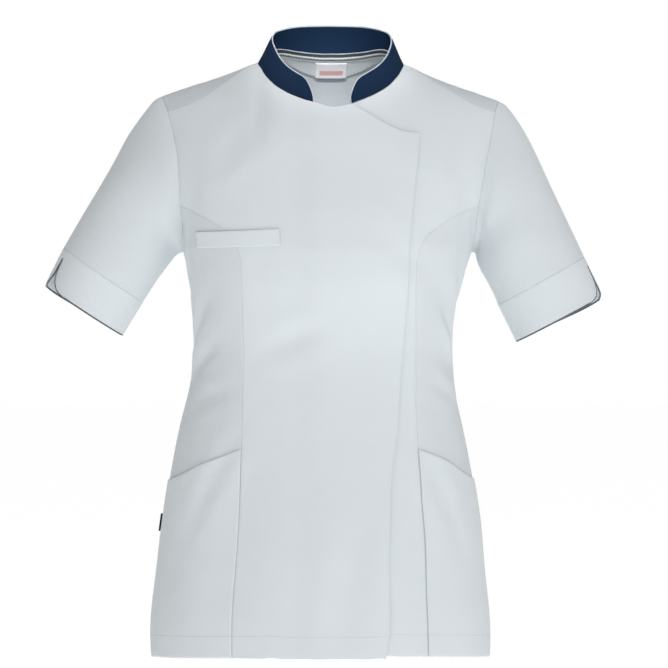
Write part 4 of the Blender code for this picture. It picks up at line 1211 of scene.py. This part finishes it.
def with_edge_lines(grid, axis):
    """The grid with two more lines close to its first and last line along this axis."""
    grid = np.swapaxes(grid, 0, axis)
    near = {}
    for end, beside in ((0, 1), (-1, -2)):
        step = grid[beside] - grid[end]
        spacing = np.linalg.norm(step, axis=-1, keepdims=True)
        shares = [np.minimum(away / spacing, limit) for away, limit in zip(EDGE_LINES, EDGE_SHARES)]
        near[end] = [grid[end] + step * share for share in shares]
    result = [grid[0], *near[0], *grid[1:-1], *near[-1][::-1], grid[-1]]
    return np.swapaxes(np.array(result), 0, axis)


def dip_edges(grid, outwards, dip, closed):
    """Moves the outer lines of the grid towards the wearer."""
    rows, columns = grid.shape[:2]
    depth = np.zeros((rows, columns))
    for step, amount in enumerate(EDGE_DIPS):
        depth[step] = np.maximum(depth[step], amount)
        depth[-1 - step] = np.maximum(depth[-1 - step], amount)
        if not closed:
            depth[:, step] = np.maximum(depth[:, step], amount)
            depth[:, -1 - step] = np.maximum(depth[:, -1 - step], amount)
    return grid - outwards * depth[..., None] * dip


print("edges dip by up to", EDGE_DIPS[0], "mm")

# %% [markdown]
# A piece of cloth remembers its grid and which way is out. From these it can say its threads'
# places, its size laid flat, and the line that a row of stitches beside one of its edges would
# follow.

# %% A piece of cloth
class Cloth:
    """One piece of cloth as a grid of points, with the direction out of the wearer at each."""

    def __init__(self, points, wall, closed, centre, dip):
        points = with_edge_lines(points, 0)
        if not closed:
            points = with_edge_lines(points, 1)
        normals = grid_normals(points, closed)
        self.outside = float(np.sign(np.sum(normals * (points - np.array(centre)))))
        self.normals = normals * self.outside
        self.points = dip_edges(points, self.normals, dip, closed)
        self.wall = wall
        self.closed = closed

    def whole(self):
        """The grid, with its first column once more at the end where it closes."""
        if not self.closed:
            return self.points
        return np.concatenate([self.points, self.points[:, :1]], axis=1)

    def threads(self):
        """How far each point lies along the rows and up the columns, in metres."""
        grid = self.whole()
        along, up = np.zeros(grid.shape[:2]), np.zeros(grid.shape[:2])
        along[:, 1:] = np.linalg.norm(np.diff(grid, axis=1), axis=-1).cumsum(axis=1)
        up[1:] = np.linalg.norm(np.diff(grid, axis=0), axis=-1).cumsum(axis=0)
        middle = grid.shape[1] // 2
        return (along - along[:, middle : middle + 1]) * MM, up * MM

    def size(self):
        """Width, length and area in metres when it lies flat."""
        along, up = self.threads()
        grid = self.whole()
        first, second = grid[1:, 1:] - grid[:-1, :-1], grid[1:, :-1] - grid[:-1, 1:]
        area = np.linalg.norm(np.cross(first, second), axis=-1).sum() / 2 * MM * MM
        return float(np.ptp(along, axis=1).max()), float(up[-1].max()), float(area)

    def beside(self, side, distance):
        """Points and outward directions on the outer face, this far from one side of the grid."""
        grid, normals = self.points, self.normals
        if side in ("left", "right"):
            grid, normals = np.swapaxes(grid, 0, 1), np.swapaxes(normals, 0, 1)
        if side in ("top", "right"):
            grid, normals = grid[::-1], normals[::-1]
        places, outs = [], []
        for index, tangent in enumerate(unit(np.gradient(grid[0], axis=0))):
            line = grid[:, index]
            inwards = unit(line[min(INWARD_POINTS, len(line) - 1)] - line[0])
            slant = max(LEAST_SLANT, float(np.linalg.norm(np.cross(inwards, tangent))))
            at = run_length(line)
            places.append(along_line(distance / slant, at, line))
            outs.append(along_line(distance / slant, at, normals[:, index]))
        outs = unit(np.array(outs))
        return np.array(places) + outs * self.wall / 2, outs


print("cloth can be measured")

# %% [markdown]
# The mesh is the grid with a face in each cell, left open where a cuff has its slit. Its wall is a
# modifier with the same thickness to both sides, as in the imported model.

# %% Dressing a solid
def cloth_mesh(name, piece, open_from=None):
    """The mesh of a piece of cloth, with its thread map."""
    rows, columns = piece.points.shape[:2]
    faces, used = [], []
    for row in range(rows - 1):
        slit = open_from is not None and row >= open_from
        for this in range(columns if piece.closed and not slit else columns - 1):
            corners = [(row, this), (row, this + 1), (row + 1, this + 1), (row + 1, this)]
            if piece.outside < 0:
                corners.reverse()
            faces.append([r * columns + c % columns for r, c in corners])
            used += corners
    mesh = bpy.data.meshes.new(name)
    mesh.from_pydata((piece.points.reshape(-1, 3) * MM).tolist(), [], faces)
    layer = mesh.uv_layers.new(name=THREAD_MAP)
    used = tuple(np.array(used).T)
    places = np.stack([measure[used] for measure in piece.threads()], axis=-1)
    layer.data.foreach_set("uv", places.astype(np.float32).ravel())
    mesh.shade_smooth()
    return mesh


def put_on(obj, node):
    """The piece rides on the body and stands for its solid, whose part is hidden."""
    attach(obj, "root")
    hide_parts(node)


def dress(node, points, finish, wall=CLOTH, centre=TORSO_CENTRE, closed=False,
          open_from=None):
    """Makes the cloth that stands for a node."""
    piece = Cloth(points, wall, closed, centre, DIPS.get(node, 1.0))
    if open_from is not None:
        open_from += len(EDGE_LINES)
    mesh = cloth_mesh(f"{node}_cloth", piece, open_from)
    mesh.materials.append(finishes[finish])
    obj = add_object(f"{node}_cloth", mesh)
    solid = obj.modifiers.new("wall", "SOLIDIFY")
    solid.thickness = wall * MM
    solid.offset = 0
    put_on(obj, node)
    width, length, area = piece.size()
    width, length = max(width, LEAST_CUT), max(length, LEAST_CUT)
    pieces[node] = piece
    print(f"{node}: {width * 1000:.0f} x {length * 1000:.0f} mm, {area * 10000:.0f} square cm")
    return obj


print("least cut:", LEAST_CUT, "m")

# %% [markdown]
# ## The body
#
# Front, side fronts, back and yoke come first, each on the seams that it shares with its
# neighbours. The upper front stands a little off the lower one towards its free edge. The hip
# pockets bag slightly below their mouths, as pockets do once they have held something, and the
# chest welt lies flat on its seam.

# %% The body's cloth
POCKET_BAG = 1.6


def pocket_lift(places):
    """The hip pocket stands off its panel, most in the middle below its mouth."""
    rows, columns = places.shape[:2]
    up = np.linspace(0, 1, rows)[:, None]
    across = np.sin(np.pi * np.linspace(0, 1, columns))[None]
    return CLOTH + LAYER_GAP + POCKET_BAG * up**3 * across


places = front_right(tunic)
dress("front_right", panel(places, overlap_lift(torso(places))), "white")
dress("front_left", panel(front_left(tunic)), "white")
for side in SIDES:
    low, upper = front_side(tunic, side)
    whole = panel(np.concatenate([low, upper[1:]]))
    # The side fronts take the greyer copy of the white: painted shade where they turn away from the
    # lamps.
    dress(f"front_side_{side}", whole, "painted_shade_white")
    pocket = panel(low, pocket_lift(low), POCKET_INSET)
    dress(f"hip_pocket_{side}", pocket, "white")
dress("back", panel(back(tunic)), "white")
dress("yoke", panel(yoke(tunic)), "yoke")

# %% [markdown]
# The welt is a narrow strip over the slit of the chest pocket, and the tab is a folded ribbon that
# is caught in the side seam and stands off it a little.

# %% The chest welt and the flag tab
top, bottom = (drawn(knots).even(WELT_COLUMNS) for knots in (WELT_TOP, WELT_BOTTOM))
ends = [Seam([tuple(bottom[end]), tuple(top[end])]).even(WELT_ROWS) for end in (0, -1)]
welt_points = panel(patch(bottom, top, *ends), CLOTH + WELT_GAP)
# The welt takes the whiter copy of the white: painted light.
dress("chest_welt", welt_points, "facing")

flag_angles = np.linspace(*FLAG_ANGLES, FLAG_COLUMNS)
flag_heights = np.linspace(*FLAG_HEIGHTS, FLAG_ROWS)
flag_lifts = np.linspace(*FLAG_LIFTS, FLAG_COLUMNS)
places = np.array([[at_angle(angle, height) for angle in flag_angles] for height in flag_heights])
dress("flag_tab", panel(places, flag_lifts[None]), "tape", wall=TAPE_WALL)

# %% [markdown]
# ## Sleeves and cuffs
#
# A sleeve is a stack of rings that starts on the armhole's own line and ends at the cuff seam. The
# armhole isn't a neat oval, so the first rings keep its shape and the later ones let it fade. The
# cuffs carry on from the last ring, and split in a rounded slit on the outer side. Near the slit
# the back of a cuff hangs a few millimetres lower than its front, so that its dark rim shows
# below.

# %% Sizes of sleeves and cuffs
# Sleeve rings from the armhole to the cuff: the outer and inner points that the front view shows,
# and the ring's middle and half depth from front to back.
SLEEVE_COLUMNS = ("outer", "outer_height", "inner", "inner_height", "middle", "half_depth")
SLEEVE_RINGS = {
    "right": (
        (-201.0, -40.0, -176.0, -226.0, 10, 63),
        (-211.0, -46.0, -180.5, -228.0, 10, 64),
        (-226.0, -65.0, -187.5, -232.5, 9, 64),
        (-242.0, -88.0, -196.0, -241.0, 8, 62),
        (-258.0, -115.5, -205.0, -254.0, 7, 60),
        (-276.5, -146.5, -213.5, -267.0, 6, 57),
        (-296.0, -180.5, -220.0, -277.5, 5, 54),
        (-320.0, -222.5, -226.0, -286.5, 4, 51),
    ),
    "left": (
        (199.8, -45.4, 168.8, -226.0, 10, 63),
        (209.5, -52.0, 174.0, -228.5, 10, 64),
        (223.0, -70.0, 176.5, -237.0, 9, 64),
        (236.5, -92.0, 182.0, -248.0, 8, 62),
        (250.5, -118.0, 187.5, -258.5, 7, 60),
        (266.5, -152.0, 192.5, -269.0, 6, 57),
        (284.0, -190.0, 197.5, -279.0, 5, 54),
        (304.0, -233.0, 202.0, -290.0, 4, 51),
    ),
}
CUFF_HEM = {
    "right": (-341.2, -265.0, -249.4, -325.0, 3, 50),
    "left": (325.6, -278.6, 223.0, -332.4, 3, 50),
}
SLEEVE_FADE = 5.5
# Folds of the sleeves: turn, share of the way down, half sizes of both, and depth of trough
SLEEVE_FOLDS = {
    "right": (
        (112, 0.45, 24, 0.16, 3.2), (68, 0.72, 20, 0.13, 2.4), (250, 0.5, 26, 0.16, 3.0),
        (150, 0.30, 15, 0.10, 2.4), (88, 0.86, 14, 0.09, 2.0), (20, 0.62, 22, 0.14, 2.0),
    ),
    "left": (
        (118, 0.42, 24, 0.16, 3.2), (60, 0.66, 20, 0.13, 2.6), (244, 0.52, 26, 0.16, 3.0),
        (146, 0.26, 15, 0.10, 2.4), (96, 0.84, 14, 0.09, 2.1), (24, 0.56, 22, 0.14, 2.0),
    ),
}
FOLD_WIDTH = 1.4
FOLD_LENGTH = 3.0
FOLD_HOLD = 0.5
CUFF_HEIGHT = 48
SLIT_TURN = {"right": 27, "left": 14}
SLIT_WIDTH = 4.6
SLIT_TOP = 10
SLIT_SPREAD = 5
CORNER_RADIUS = 22
EDGING_RADIUS = 1.0
CUFF_ARC_ROWS = 12
CORD_ROUNDNESS = 3
BACK_RIM_DROP = 3.6


print("sleeve rings:", len(SLEEVE_RINGS["right"]), "on each side")

# %% [markdown]
# A ring is an oval through its outer and inner point. Each point of the armhole gets a turn on the
# first ring, and what it lies away from there fades out down the sleeve. Folds run slantwise round
# the arm.

# %% Sleeves
def ring_frame(row):
    """A sleeve ring's middle, the way from there to its outer point, and its half depth."""
    size = dict(zip(SLEEVE_COLUMNS, row))
    outer = np.array([size["outer"], size["middle"], size["outer_height"]], float)
    inner = np.array([size["inner"], size["middle"], size["inner_height"]], float)
    return (outer + inner) / 2, (outer - inner) / 2, size["half_depth"]


def sleeve_ring(row, turn):
    """Points round a sleeve ring. Turn is 0 at the outer point and 90 degrees at the front."""
    middle, half, half_depth = ring_frame(row)
    turn = np.radians(turn)[..., None]
    return middle + half * np.cos(turn) - np.array([0, half_depth, 0]) * np.sin(turn)


def ring_turns(points, row):
    """The turn of each point, as sleeve_ring() counts it."""
    middle, half, half_depth = ring_frame(row)
    away = points - middle
    return np.degrees(np.arctan2(-away[:, 1] / half_depth, away @ half / (half @ half)))


def sleeve_fold(turn, share, side):
    """How far the sleeve's soft folds move its cloth."""
    moved = np.zeros_like(turn)
    for at_turn, at_share, half_turn, half_share, depth in SLEEVE_FOLDS[side]:
        away = (turn - at_turn + 180) % 360 - 180
        beside = (away / half_turn + (share - at_share) / half_share) / FOLD_WIDTH
        along = (away / half_turn - (share - at_share) / half_share) / FOLD_LENGTH
        ridges = sum(np.exp(-((beside + apart) ** 2)) for apart in (-RIDGE_AWAY, RIDGE_AWAY))
        moved += depth * np.exp(-(along**2)) * (RIDGE_SHARE * ridges - np.exp(-(beside**2)))
    return moved


def sleeve(tunic, side, rings):
    """A sleeve's points, from the armhole's own line to the cuff seam, at this many rings."""
    parts = (tunic.arm_lower[side], tunic.arm_upper[side])
    parts += (tunic.arm_yoke[side][::-1], tunic.arm_back[side][::-1])
    armhole = torso(joined(*parts)[:-1])
    table = np.array(SLEEVE_RINGS[side], float)
    turn = ring_turns(armhole, table[0])
    away = armhole - sleeve_ring(table[0], turn)
    known = np.linspace(0, 1, len(table))
    points = []
    for share in np.linspace(0, 1, rings):
        ring = sleeve_ring([eased(known, sizes, share) for sizes in table.T], turn)
        outwards = unit(ring - ring.mean(axis=0))
        fade = 1 - smooth(min(1, share * (len(table) - 1) / SLEEVE_FADE))
        fold = sleeve_fold(turn, share, side) * math.sin(math.pi * share) ** FOLD_HOLD
        points.append(ring + away * fade + outwards * fold[:, None])
    points = np.array(points)
    points[0] += SLEEVE_START * unit(points[1] - points[0])
    points[-1] += SEAM_GAP / 2 * unit(points[-2] - points[-1])
    return points


print("sleeves can be made")

# %% [markdown]
# A cuff is wound from one side of its slit round to the other. Its rows get shorter towards the
# hem, first slowly and then in a quarter circle, which rounds both corners. The edging's line lies
# just outside hem and slit.

# %% Cuffs
def cuff(side, columns):
    """A cuff's points, row by row from its seam to its hem, and the row where the slit begins."""
    seam_row, hem_row = (np.array(row, float) for row in (SLEEVE_RINGS[side][-1], CUFF_HEM[side]))
    down_arm = unit(ring_frame(hem_row)[0] - ring_frame(seam_row)[0])
    straight = CUFF_HEIGHT - CORNER_RADIUS
    above = np.linspace(SEAM_GAP / 2, SLIT_TOP, FINE)
    below = np.linspace(SLIT_TOP, straight, FINE + 1)[1:]
    arc = np.radians(np.linspace(0, 90, CUFF_ARC_ROWS + 1)[1:])
    down = np.concatenate([above, below, straight + CORNER_RADIUS * np.sin(arc)])
    no_corner = np.zeros(len(above) + len(below))
    corner = np.concatenate([no_corner, CORNER_RADIUS * (1 - np.cos(arc))])
    opened = np.clip((down - SLIT_TOP) / (CUFF_HEIGHT - SLIT_TOP), 0, 1)
    half_slit = SLIT_WIDTH / 2 + SLIT_SPREAD * opened**1.5 + corner
    points = []
    for distance, half in zip(down, half_slit):
        row = seam_row + (hem_row - seam_row) * distance / CUFF_HEIGHT
        middle, half_width, half_depth = ring_frame(row)
        half_turn = math.degrees(half / ((np.linalg.norm(half_width) + half_depth) / 2))
        turn = np.linspace(half_turn, 360 - half_turn, columns)
        ring = sleeve_ring(row, SLIT_TURN[side] + turn)
        behind = np.clip((ring[:, 1] - middle[1]) / half_depth, 0, 1)
        lowered = behind * (1 + np.cos(np.radians(turn))) * (distance / CUFF_HEIGHT) ** 2
        points.append(ring + down_arm * (lowered * BACK_RIM_DROP)[:, None])
    return np.array(points), len(above) - 1


def cuff_edging(points, slit_row):
    """The line that the edging follows, round the hem and the slit of a cuff."""
    rows, columns = points.shape[:2]
    order = [(r, columns - 1) for r in range(slit_row, rows)]
    order += [(rows - 1, c) for c in range(columns - 2, -1, -1)]
    order += [(r, 0) for r in range(rows - 2, slit_row - 1, -1)]
    rows_of, columns_of = zip(*order)
    normals = grid_normals(points, closed=True)[rows_of, columns_of]
    return inset_loop(points[rows_of, columns_of], normals, -(EDGING_RADIUS + PIPING_GAP))


print("cuffs can be made")

# %% [markdown]
# Cords are curves with a round bevel, the simplest way to a thin even edge. With this helper the
# sleeves, cuffs and edgings of both sides can be made in one loop.

# %% Cords, and both sleeves
def piping(node, points, radius, finish, closed=False):
    """A thin corded edge: a poly curve with a round bevel."""
    curve = bpy.data.curves.new(f"{node}_cord", "CURVE")
    curve.dimensions = "3D"
    curve.bevel_depth = radius * MM
    curve.bevel_resolution = CORD_ROUNDNESS
    curve.use_fill_caps = not closed
    spline = curve.splines.new("POLY")
    spline.points.add(len(points) - 1)
    for point, place in zip(spline.points, points):
        point.co = (*(place * MM), 1)
    spline.use_cyclic_u = closed
    curve.materials.append(finishes[finish])
    put_on(add_object(f"{node}_cord", curve), node)


for side in SIDES:
    points = sleeve(tunic, side, SLEEVE_ROWS)
    # The sleeves take the greyer copy of the white: painted shade where they turn away from the
    # lamps.
    dress(f"sleeve_{side}", points, "painted_shade_white", centre=middle_of(points), closed=True)
    points, slit_row = cuff(side, CUFF_COLUMNS)
    dress(
        f"cuff_{side}", points, "white",
        wall=CUFF_WALL, centre=middle_of(points), closed=True, open_from=slit_row,
    )
    edging = cuff_edging(points[:, ::-1] if side == "left" else points, slit_row)
    piping(f"cuff_edging_{side}", edging, EDGING_RADIUS, "edging", closed=True)

# %% [markdown]
# ## The collar and the inside of the neck
#
# The stand collar rises from the neckline to its own top edge, with a slight bow so that it
# doesn't look like bent card. A pale cord edges its top and its front ends. Inside, a tape covers
# the neck seam: dark above, pale below. Under it lie a facing and a small label. The label of a
# real tunic is printed, and this one has only a plain stripe.

# %% The collar
def collar_top_line():
    """Knots of the collar's top edge, in the order of the neckline."""
    right = [(row[0], row[4], row[1]) for row in COLLAR_TOP]
    left = [(row[2], row[4], row[3]) for row in COLLAR_TOP]
    return np.array(right + left[-2::-1], float)


def stations_between(first, last):
    """Evenly spaced stations from one knot of the neckline to another."""
    return np.linspace(first, last, (last - first) * FINE + 1)


def collar_grid(tunic, stations, rows):
    """The collar's points from the neckline to its top edge."""
    low = torso(tunic.neckline.at_index(stations))
    knots = collar_top_line()
    index = np.arange(len(knots))
    high = np.column_stack([eased(index, knots[:, part], stations) for part in range(3)])
    up = high - low
    length = np.linalg.norm(up, axis=-1, keepdims=True)
    low = low + up / length * COLLAR_LIFT
    middle = np.array([low[:, 0].mean(), low[:, 1].mean(), 0])
    away = unit((low - middle) * np.array([1, 1, 0]))
    part = np.linspace(0, 1, rows + 1)[:, None, None]
    bow = COLLAR_BOW * np.sin(np.pi * part) * length / length.max()
    return (1 - part) * low + part * high + bow * away


stations = stations_between(0, len(tunic.neckline.knots) - 1)
points = collar_grid(tunic, stations, COLLAR_ROWS)
dress("collar", points, "navy", wall=COLLAR_WALL, centre=middle_of(points))
rows, columns = points.shape[:2]
rows_of, columns_of = outline_order(rows, columns)
normals = grid_normals(points)[rows_of, columns_of]
edge = inset_loop(points[rows_of, columns_of], normals, -(COLLAR_PIPING_RADIUS + PIPING_GAP))
# The cord leaves out the collar's seam
edge = edge[columns : 2 * columns + 2 * rows - 4]
piping("collar_piping", edge, COLLAR_PIPING_RADIUS, "piping")

# %% [markdown]
# Tape, facing and label all lie inside the yoke. Their points are read off the yoke's own columns,
# at depths below the neckline, and moved in by half of both walls and a small gap.

# %% The tape inside the neck
TAPE_LOW_ROWS = 3
TAPE_HIGH_ROWS = 6
# The upper half of the tape is dark, from this row of its faces up
DARK_FROM_ROW = 5


def down_the_yoke(points, distances):
    """Points on the yoke's own columns at distances below the neckline."""
    lines = np.swapaxes(points, 0, 1)[:, ::-1]
    return np.array([along_line(d, run_length(line), line) for line, d in zip(lines, distances)])


def recolour(obj, node, finish, chosen):
    """Gives a second finish to the faces of a piece that are chosen by row and column."""
    obj.data.materials.append(finishes[finish])
    cells = pieces[node].points.shape[1] - 1
    for face in obj.data.polygons:
        if chosen(*divmod(face.index, cells)):
            face.material_index = 1


stations = stations_between(tunic.neck_right, tunic.neck_left)
collar = collar_grid(tunic, stations, COLLAR_ROWS)
collar_in = grid_normals(collar)[0]
up = unit(collar[1] - collar[0])
places = yoke(tunic)[:, SHOULDER_COLUMNS : SHOULDER_COLUMNS + len(stations)]
yoke_points = torso(places)
yoke_out = torso_outwards(places[-1])
inside_collar = yoke_points[-1] + collar_in * ((COLLAR_WALL + TAPE_WALL) / 2 + TAPE_GAP)
low = down_the_yoke(yoke_points, np.full(len(stations), TAPE_DOWN))
low = low - yoke_out * ((CLOTH + TAPE_WALL) / 2 + TAPE_GAP)
seam = inside_collar + up * COLLAR_LIFT
high = inside_collar + up * (COLLAR_LIFT + TAPE_UP)
tape = [low + (seam - low) * share for share in np.linspace(0, 1, TAPE_LOW_ROWS + 1)]
tape += [seam + (high - seam) * share for share in np.linspace(0, 1, TAPE_HIGH_ROWS + 1)[1:]]
tape = np.array(tape)
# The tape's pale half takes the whiter copy of the white: painted light inside the neck.
obj = dress("neck_tape", tape, "facing", wall=TAPE_WALL, centre=NECK_CENTRE)
recolour(obj, "neck_tape", "tape", lambda row, across: row >= DARK_FROM_ROW)
above = high + up * (TAPE_PIPING_RADIUS + PIPING_GAP) + collar_in * TAPE_PIPING_IN
piping("neck_tape_piping", above, TAPE_PIPING_RADIUS, "piping")

# %% [markdown]
# The facing is a half moon of cloth that keeps the neck from rubbing, and the label is sewn onto
# it. Both end in rows at equal shares of their depth.

# %% The facing and the label
FACING_HALF = 2
FACING_ROWS = 8
LABEL_HALF = 0.5
LABEL_ROWS = 14
LABEL_COLUMNS = 16
# Rows and columns of the label's faces between which its stripe lies
STRIPE_ROWS = (5, 9)
STRIPE_COLUMNS = (4, 16)


def inside_yoke(across, rows_of_depths, away):
    """Rows of points inside the yoke, at places across its middle and depths below its top."""
    positions = (len(stations) - 1) / 2 + across
    columns = at_columns(yoke_points, positions)
    outwards = at_columns(yoke_out[None], positions)[0]
    rows = [down_the_yoke(columns, depths) for depths in rows_of_depths]
    return np.array(rows) - outwards * away


def at_columns(grid, positions):
    """Columns of a grid at positions that may lie between two of them."""
    low = np.clip(np.floor(positions).astype(int), 0, grid.shape[1] - 2)
    part = (positions - low)[None, :, None]
    return grid[:, low] * (1 - part) + grid[:, low + 1] * part


def in_stripe(row, across):
    """Whether a face of the label belongs to its stripe."""
    rows, columns = STRIPE_ROWS, STRIPE_COLUMNS
    return rows[0] <= row < rows[1] and columns[0] <= across < columns[1]


half = FACING_HALF * FINE
across = np.linspace(-half, half, 2 * half + 1)
depths = eased(np.linspace(-half, half, len(FACING_DEPTHS)), FACING_DEPTHS, across)
depths = [FACING_FROM + share * (depths - FACING_FROM) for share in np.linspace(1, 0, FACING_ROWS)]
away = (CLOTH + TAPE_WALL) / 2 + LAYER_GAP
facing = inside_yoke(across, depths, away)
# The facing takes the whiter copy of the white: painted light inside the neck.
dress("neck_facing", facing, "facing", wall=TAPE_WALL, centre=NECK_CENTRE)

across = np.linspace(-LABEL_HALF, LABEL_HALF, LABEL_COLUMNS + 1) * FINE
depths = np.linspace(*LABEL_DEPTHS, LABEL_ROWS + 1)[::-1]
depths = [np.full(len(across), depth) for depth in depths]
label = inside_yoke(across, depths, away + TAPE_WALL + LAYER_GAP)
obj = dress("neck_label", label, "label", wall=TAPE_WALL, centre=NECK_CENTRE)
recolour(obj, "neck_label", "coral", in_stripe)

# %% [markdown]
# ## Stitches
#
# A stitch is a tiny thread pill half sunk in the cloth, and there are thousands, so Geometry Nodes
# lays them. The node tree takes lines that carry the direction out of the cloth, walks along them
# in even steps and puts a pill on each step, turned along the line. A slant that swaps sides at
# every second stitch makes a zigzag. The rows end as plain meshes, with no modifier left on them.

# %% The stitch tree
STITCH_RINGS = 4
STITCH_SIDES = 6


def build_stitch_tree():
    tree = bpy.data.node_groups.new("stitches", "GeometryNodeTree")
    sockets = {
        "Geometry": "Geometry", "Pitch": "Float", "Stitch size": "Vector", "Slant": "Float",
        "Thread": "Material",
    }
    for name, kind in sockets.items():
        tree.interface.new_socket(name, in_out="INPUT", socket_type=f"NodeSocket{kind}")
    tree.interface.new_socket("Geometry", in_out="OUTPUT", socket_type="NodeSocketGeometry")
    given = tree.nodes.new("NodeGroupInput").outputs

    def add(kind, inputs, **settings):
        """Adds a node, fills its inputs and gives its first output."""
        node = tree.nodes.new(kind)
        for name, value in settings.items():
            setattr(node, name, value)
        for name, value in inputs.items():
            if isinstance(value, bpy.types.NodeSocket):
                tree.links.new(value, node.inputs[name])
            else:
                node.inputs[name].default_value = value
        return node.outputs[0]

    curve = add("GeometryNodeMeshToCurve", {"Mesh": given["Geometry"]})
    spacing = {"Curve": curve, "Length": given["Pitch"]}
    steps = add("GeometryNodeResampleCurve", spacing, mode="LENGTH")
    held = {"Name": "outwards"}
    outwards = add("GeometryNodeInputNamedAttribute", held, data_type="FLOAT_VECTOR")
    along = {"Vector": add("GeometryNodeInputTangent", {})}
    along = add("FunctionNodeAlignRotationToVector", along, axis="X")
    upright = {"Rotation": along, "Vector": outwards}
    upright = add("FunctionNodeAlignRotationToVector", upright, axis="Z", pivot_axis="X")
    parity = {0: add("GeometryNodeInputIndex", {}), 1: 2.0}
    swap = {0: add("ShaderNodeMath", parity, operation="MODULO"), 1: -2.0, 2: 1.0}
    angle = {0: add("ShaderNodeMath", swap, operation="MULTIPLY_ADD"), 1: given["Slant"]}
    angle = add("ShaderNodeMath", angle, operation="MULTIPLY")
    turn = add("FunctionNodeAxisAngleToRotation", {"Axis": (0, 0, 1), "Angle": angle})
    turned = {"Rotation": upright, "Rotate By": turn}
    turned = add("FunctionNodeRotateRotation", turned, rotation_space="LOCAL")
    pill = {"Segments": STITCH_SIDES, "Rings": STITCH_RINGS, "Radius": 0.5}
    pill = add("GeometryNodeMeshUVSphere", pill)
    laid = {
        "Points": steps, "Instance": add("GeometryNodeSetShadeSmooth", {"Geometry": pill}),
        "Rotation": turned, "Scale": given["Stitch size"],
    }
    laid = add("GeometryNodeInstanceOnPoints", laid)
    real = add("GeometryNodeRealizeInstances", {"Geometry": laid})
    painted = add("GeometryNodeSetMaterial", {"Geometry": real, "Material": given["Thread"]})
    tree.links.new(painted, tree.nodes.new("NodeGroupOutput").inputs[0])
    return tree


stitch_tree = build_stitch_tree()
print("stitch tree:", len(stitch_tree.nodes), "nodes")

# %% [markdown]
# To sew, a mesh of bare lines goes through the tree with sizes for this thread. Each input is set
# by its socket's identifier, because a modifier doesn't know it by name, and before the piece is
# first looked at.

# %% Sewing
def sew(name, lines, pitch, size, finish, slant=0.0):
    """Stitches along lines of (points, outward directions). Pitch and size are in millimetres."""
    places = np.concatenate([points for points, outwards in lines])
    directions = np.concatenate([outwards for points, outwards in lines])
    starts = np.cumsum([0] + [len(points) for points, outwards in lines])
    spans = zip(starts, starts[1:])
    edges = [(i, i + 1) for first, last in spans for i in range(first, last - 1)]
    mesh = bpy.data.meshes.new(name)
    mesh.from_pydata((places * MM).tolist(), edges, [])
    held = mesh.attributes.new("outwards", "FLOAT_VECTOR", "POINT")
    held.data.foreach_set("vector", directions.astype(np.float32).ravel())
    obj = add_object(name, mesh)
    modifier = obj.modifiers.new("stitches", "NODES")
    modifier.node_group = stitch_tree
    wanted = {
        "Pitch": pitch * MM,
        "Stitch size": [part * MM for part in size],
        "Slant": math.radians(slant),
        "Thread": finishes[finish],
    }
    for socket in stitch_tree.interface.items_tree:
        if socket.in_out == "INPUT" and socket.name in wanted:
            modifier[socket.identifier] = wanted[socket.name]
    graph = bpy.context.evaluated_depsgraph_get()
    result = bpy.data.meshes.new_from_object(obj.evaluated_get(graph))
    obj.modifiers.clear()
    result.materials.clear()
    result.materials.append(finishes[finish])
    result.polygons.foreach_set("material_index", np.zeros(len(result.polygons), np.int32))
    obj.data = result
    bpy.data.meshes.remove(mesh)
    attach(obj, "root")
    print(f"{name}: {len(result.polygons)} faces")


# %% [markdown]
# The rows follow what a work tunic needs: one along the hem's turning, edge stitching beside the
# princess seams and the free edge, one round the welt, the pockets' mouths and the cuffs, one
# above the yoke's seam, and one that holds the collar. Most have the cloth's colour and hardly
# show. The hem's thread is a shade darker: painted shade along the groove of its turning. The
# zigzag that fastens the tape inside the neck is nearly black.

# %% Rows of stitches
SEAM_STITCH = (2.0, 0.5, 0.36)
SEAM_PITCH = 2.7
BESIDE_SEAM = 1.8
HEM_TURNING = 25.5
MOUTH_TURNING = 18.0


def stitch_rows(name, rows, finish):
    """Sews rows beside the edges of pieces, each given as piece, side of its grid and distance."""
    lines = [pieces[node].beside(side, distance) for node, side, distance in rows]
    sew(name, lines, SEAM_PITCH, SEAM_STITCH, finish)


hemmed = ("front_right", "front_left", "hip_pocket_right", "hip_pocket_left", "back")
hem_rows = [(node, "bottom", HEM_TURNING) for node in hemmed]
stitch_rows("hem_stitches", hem_rows, "hem_thread_painted_shade")
edges = (("front_right", "left"), ("front_right", "right"), ("front_left", "right"))
edges += (("chest_welt", "top"), ("chest_welt", "left"), ("chest_welt", "right"))
seam_rows = [(*edge, BESIDE_SEAM) for edge in edges]
for side in SIDES:
    seam_rows.append((f"hip_pocket_{side}", "top", MOUTH_TURNING))
    seam_rows.append((f"cuff_{side}", "bottom", BESIDE_SEAM))
    seam_rows.append((f"cuff_{side}", "top", 3 * BESIDE_SEAM))
stitch_rows("seam_stitches", seam_rows, "thread")
stitch_rows("yoke_stitches", [("yoke", "bottom", BESIDE_SEAM)], "thread")
stitch_rows("collar_stitches", [("collar", "bottom", BESIDE_SEAM)], "navy")

# %% [markdown]
# The zigzag sits on the side of the tape that faces the wearer, so its line is moved through the
# tape's wall and turned round.

# %% The neck tape's zigzag
ZIGZAG_UP = 3.2
ZIGZAG_STITCH = (5.2, 1.25, 1.3)
ZIGZAG_PITCH = 1.9
ZIGZAG_SLANT = 56
places, outs = pieces["neck_tape"].beside("bottom", ZIGZAG_UP)
inside = [(places - outs * TAPE_WALL, -outs)]
sew(
    "neck_zigzag", inside, ZIGZAG_PITCH, ZIGZAG_STITCH,
    "dark_thread", ZIGZAG_SLANT,
)
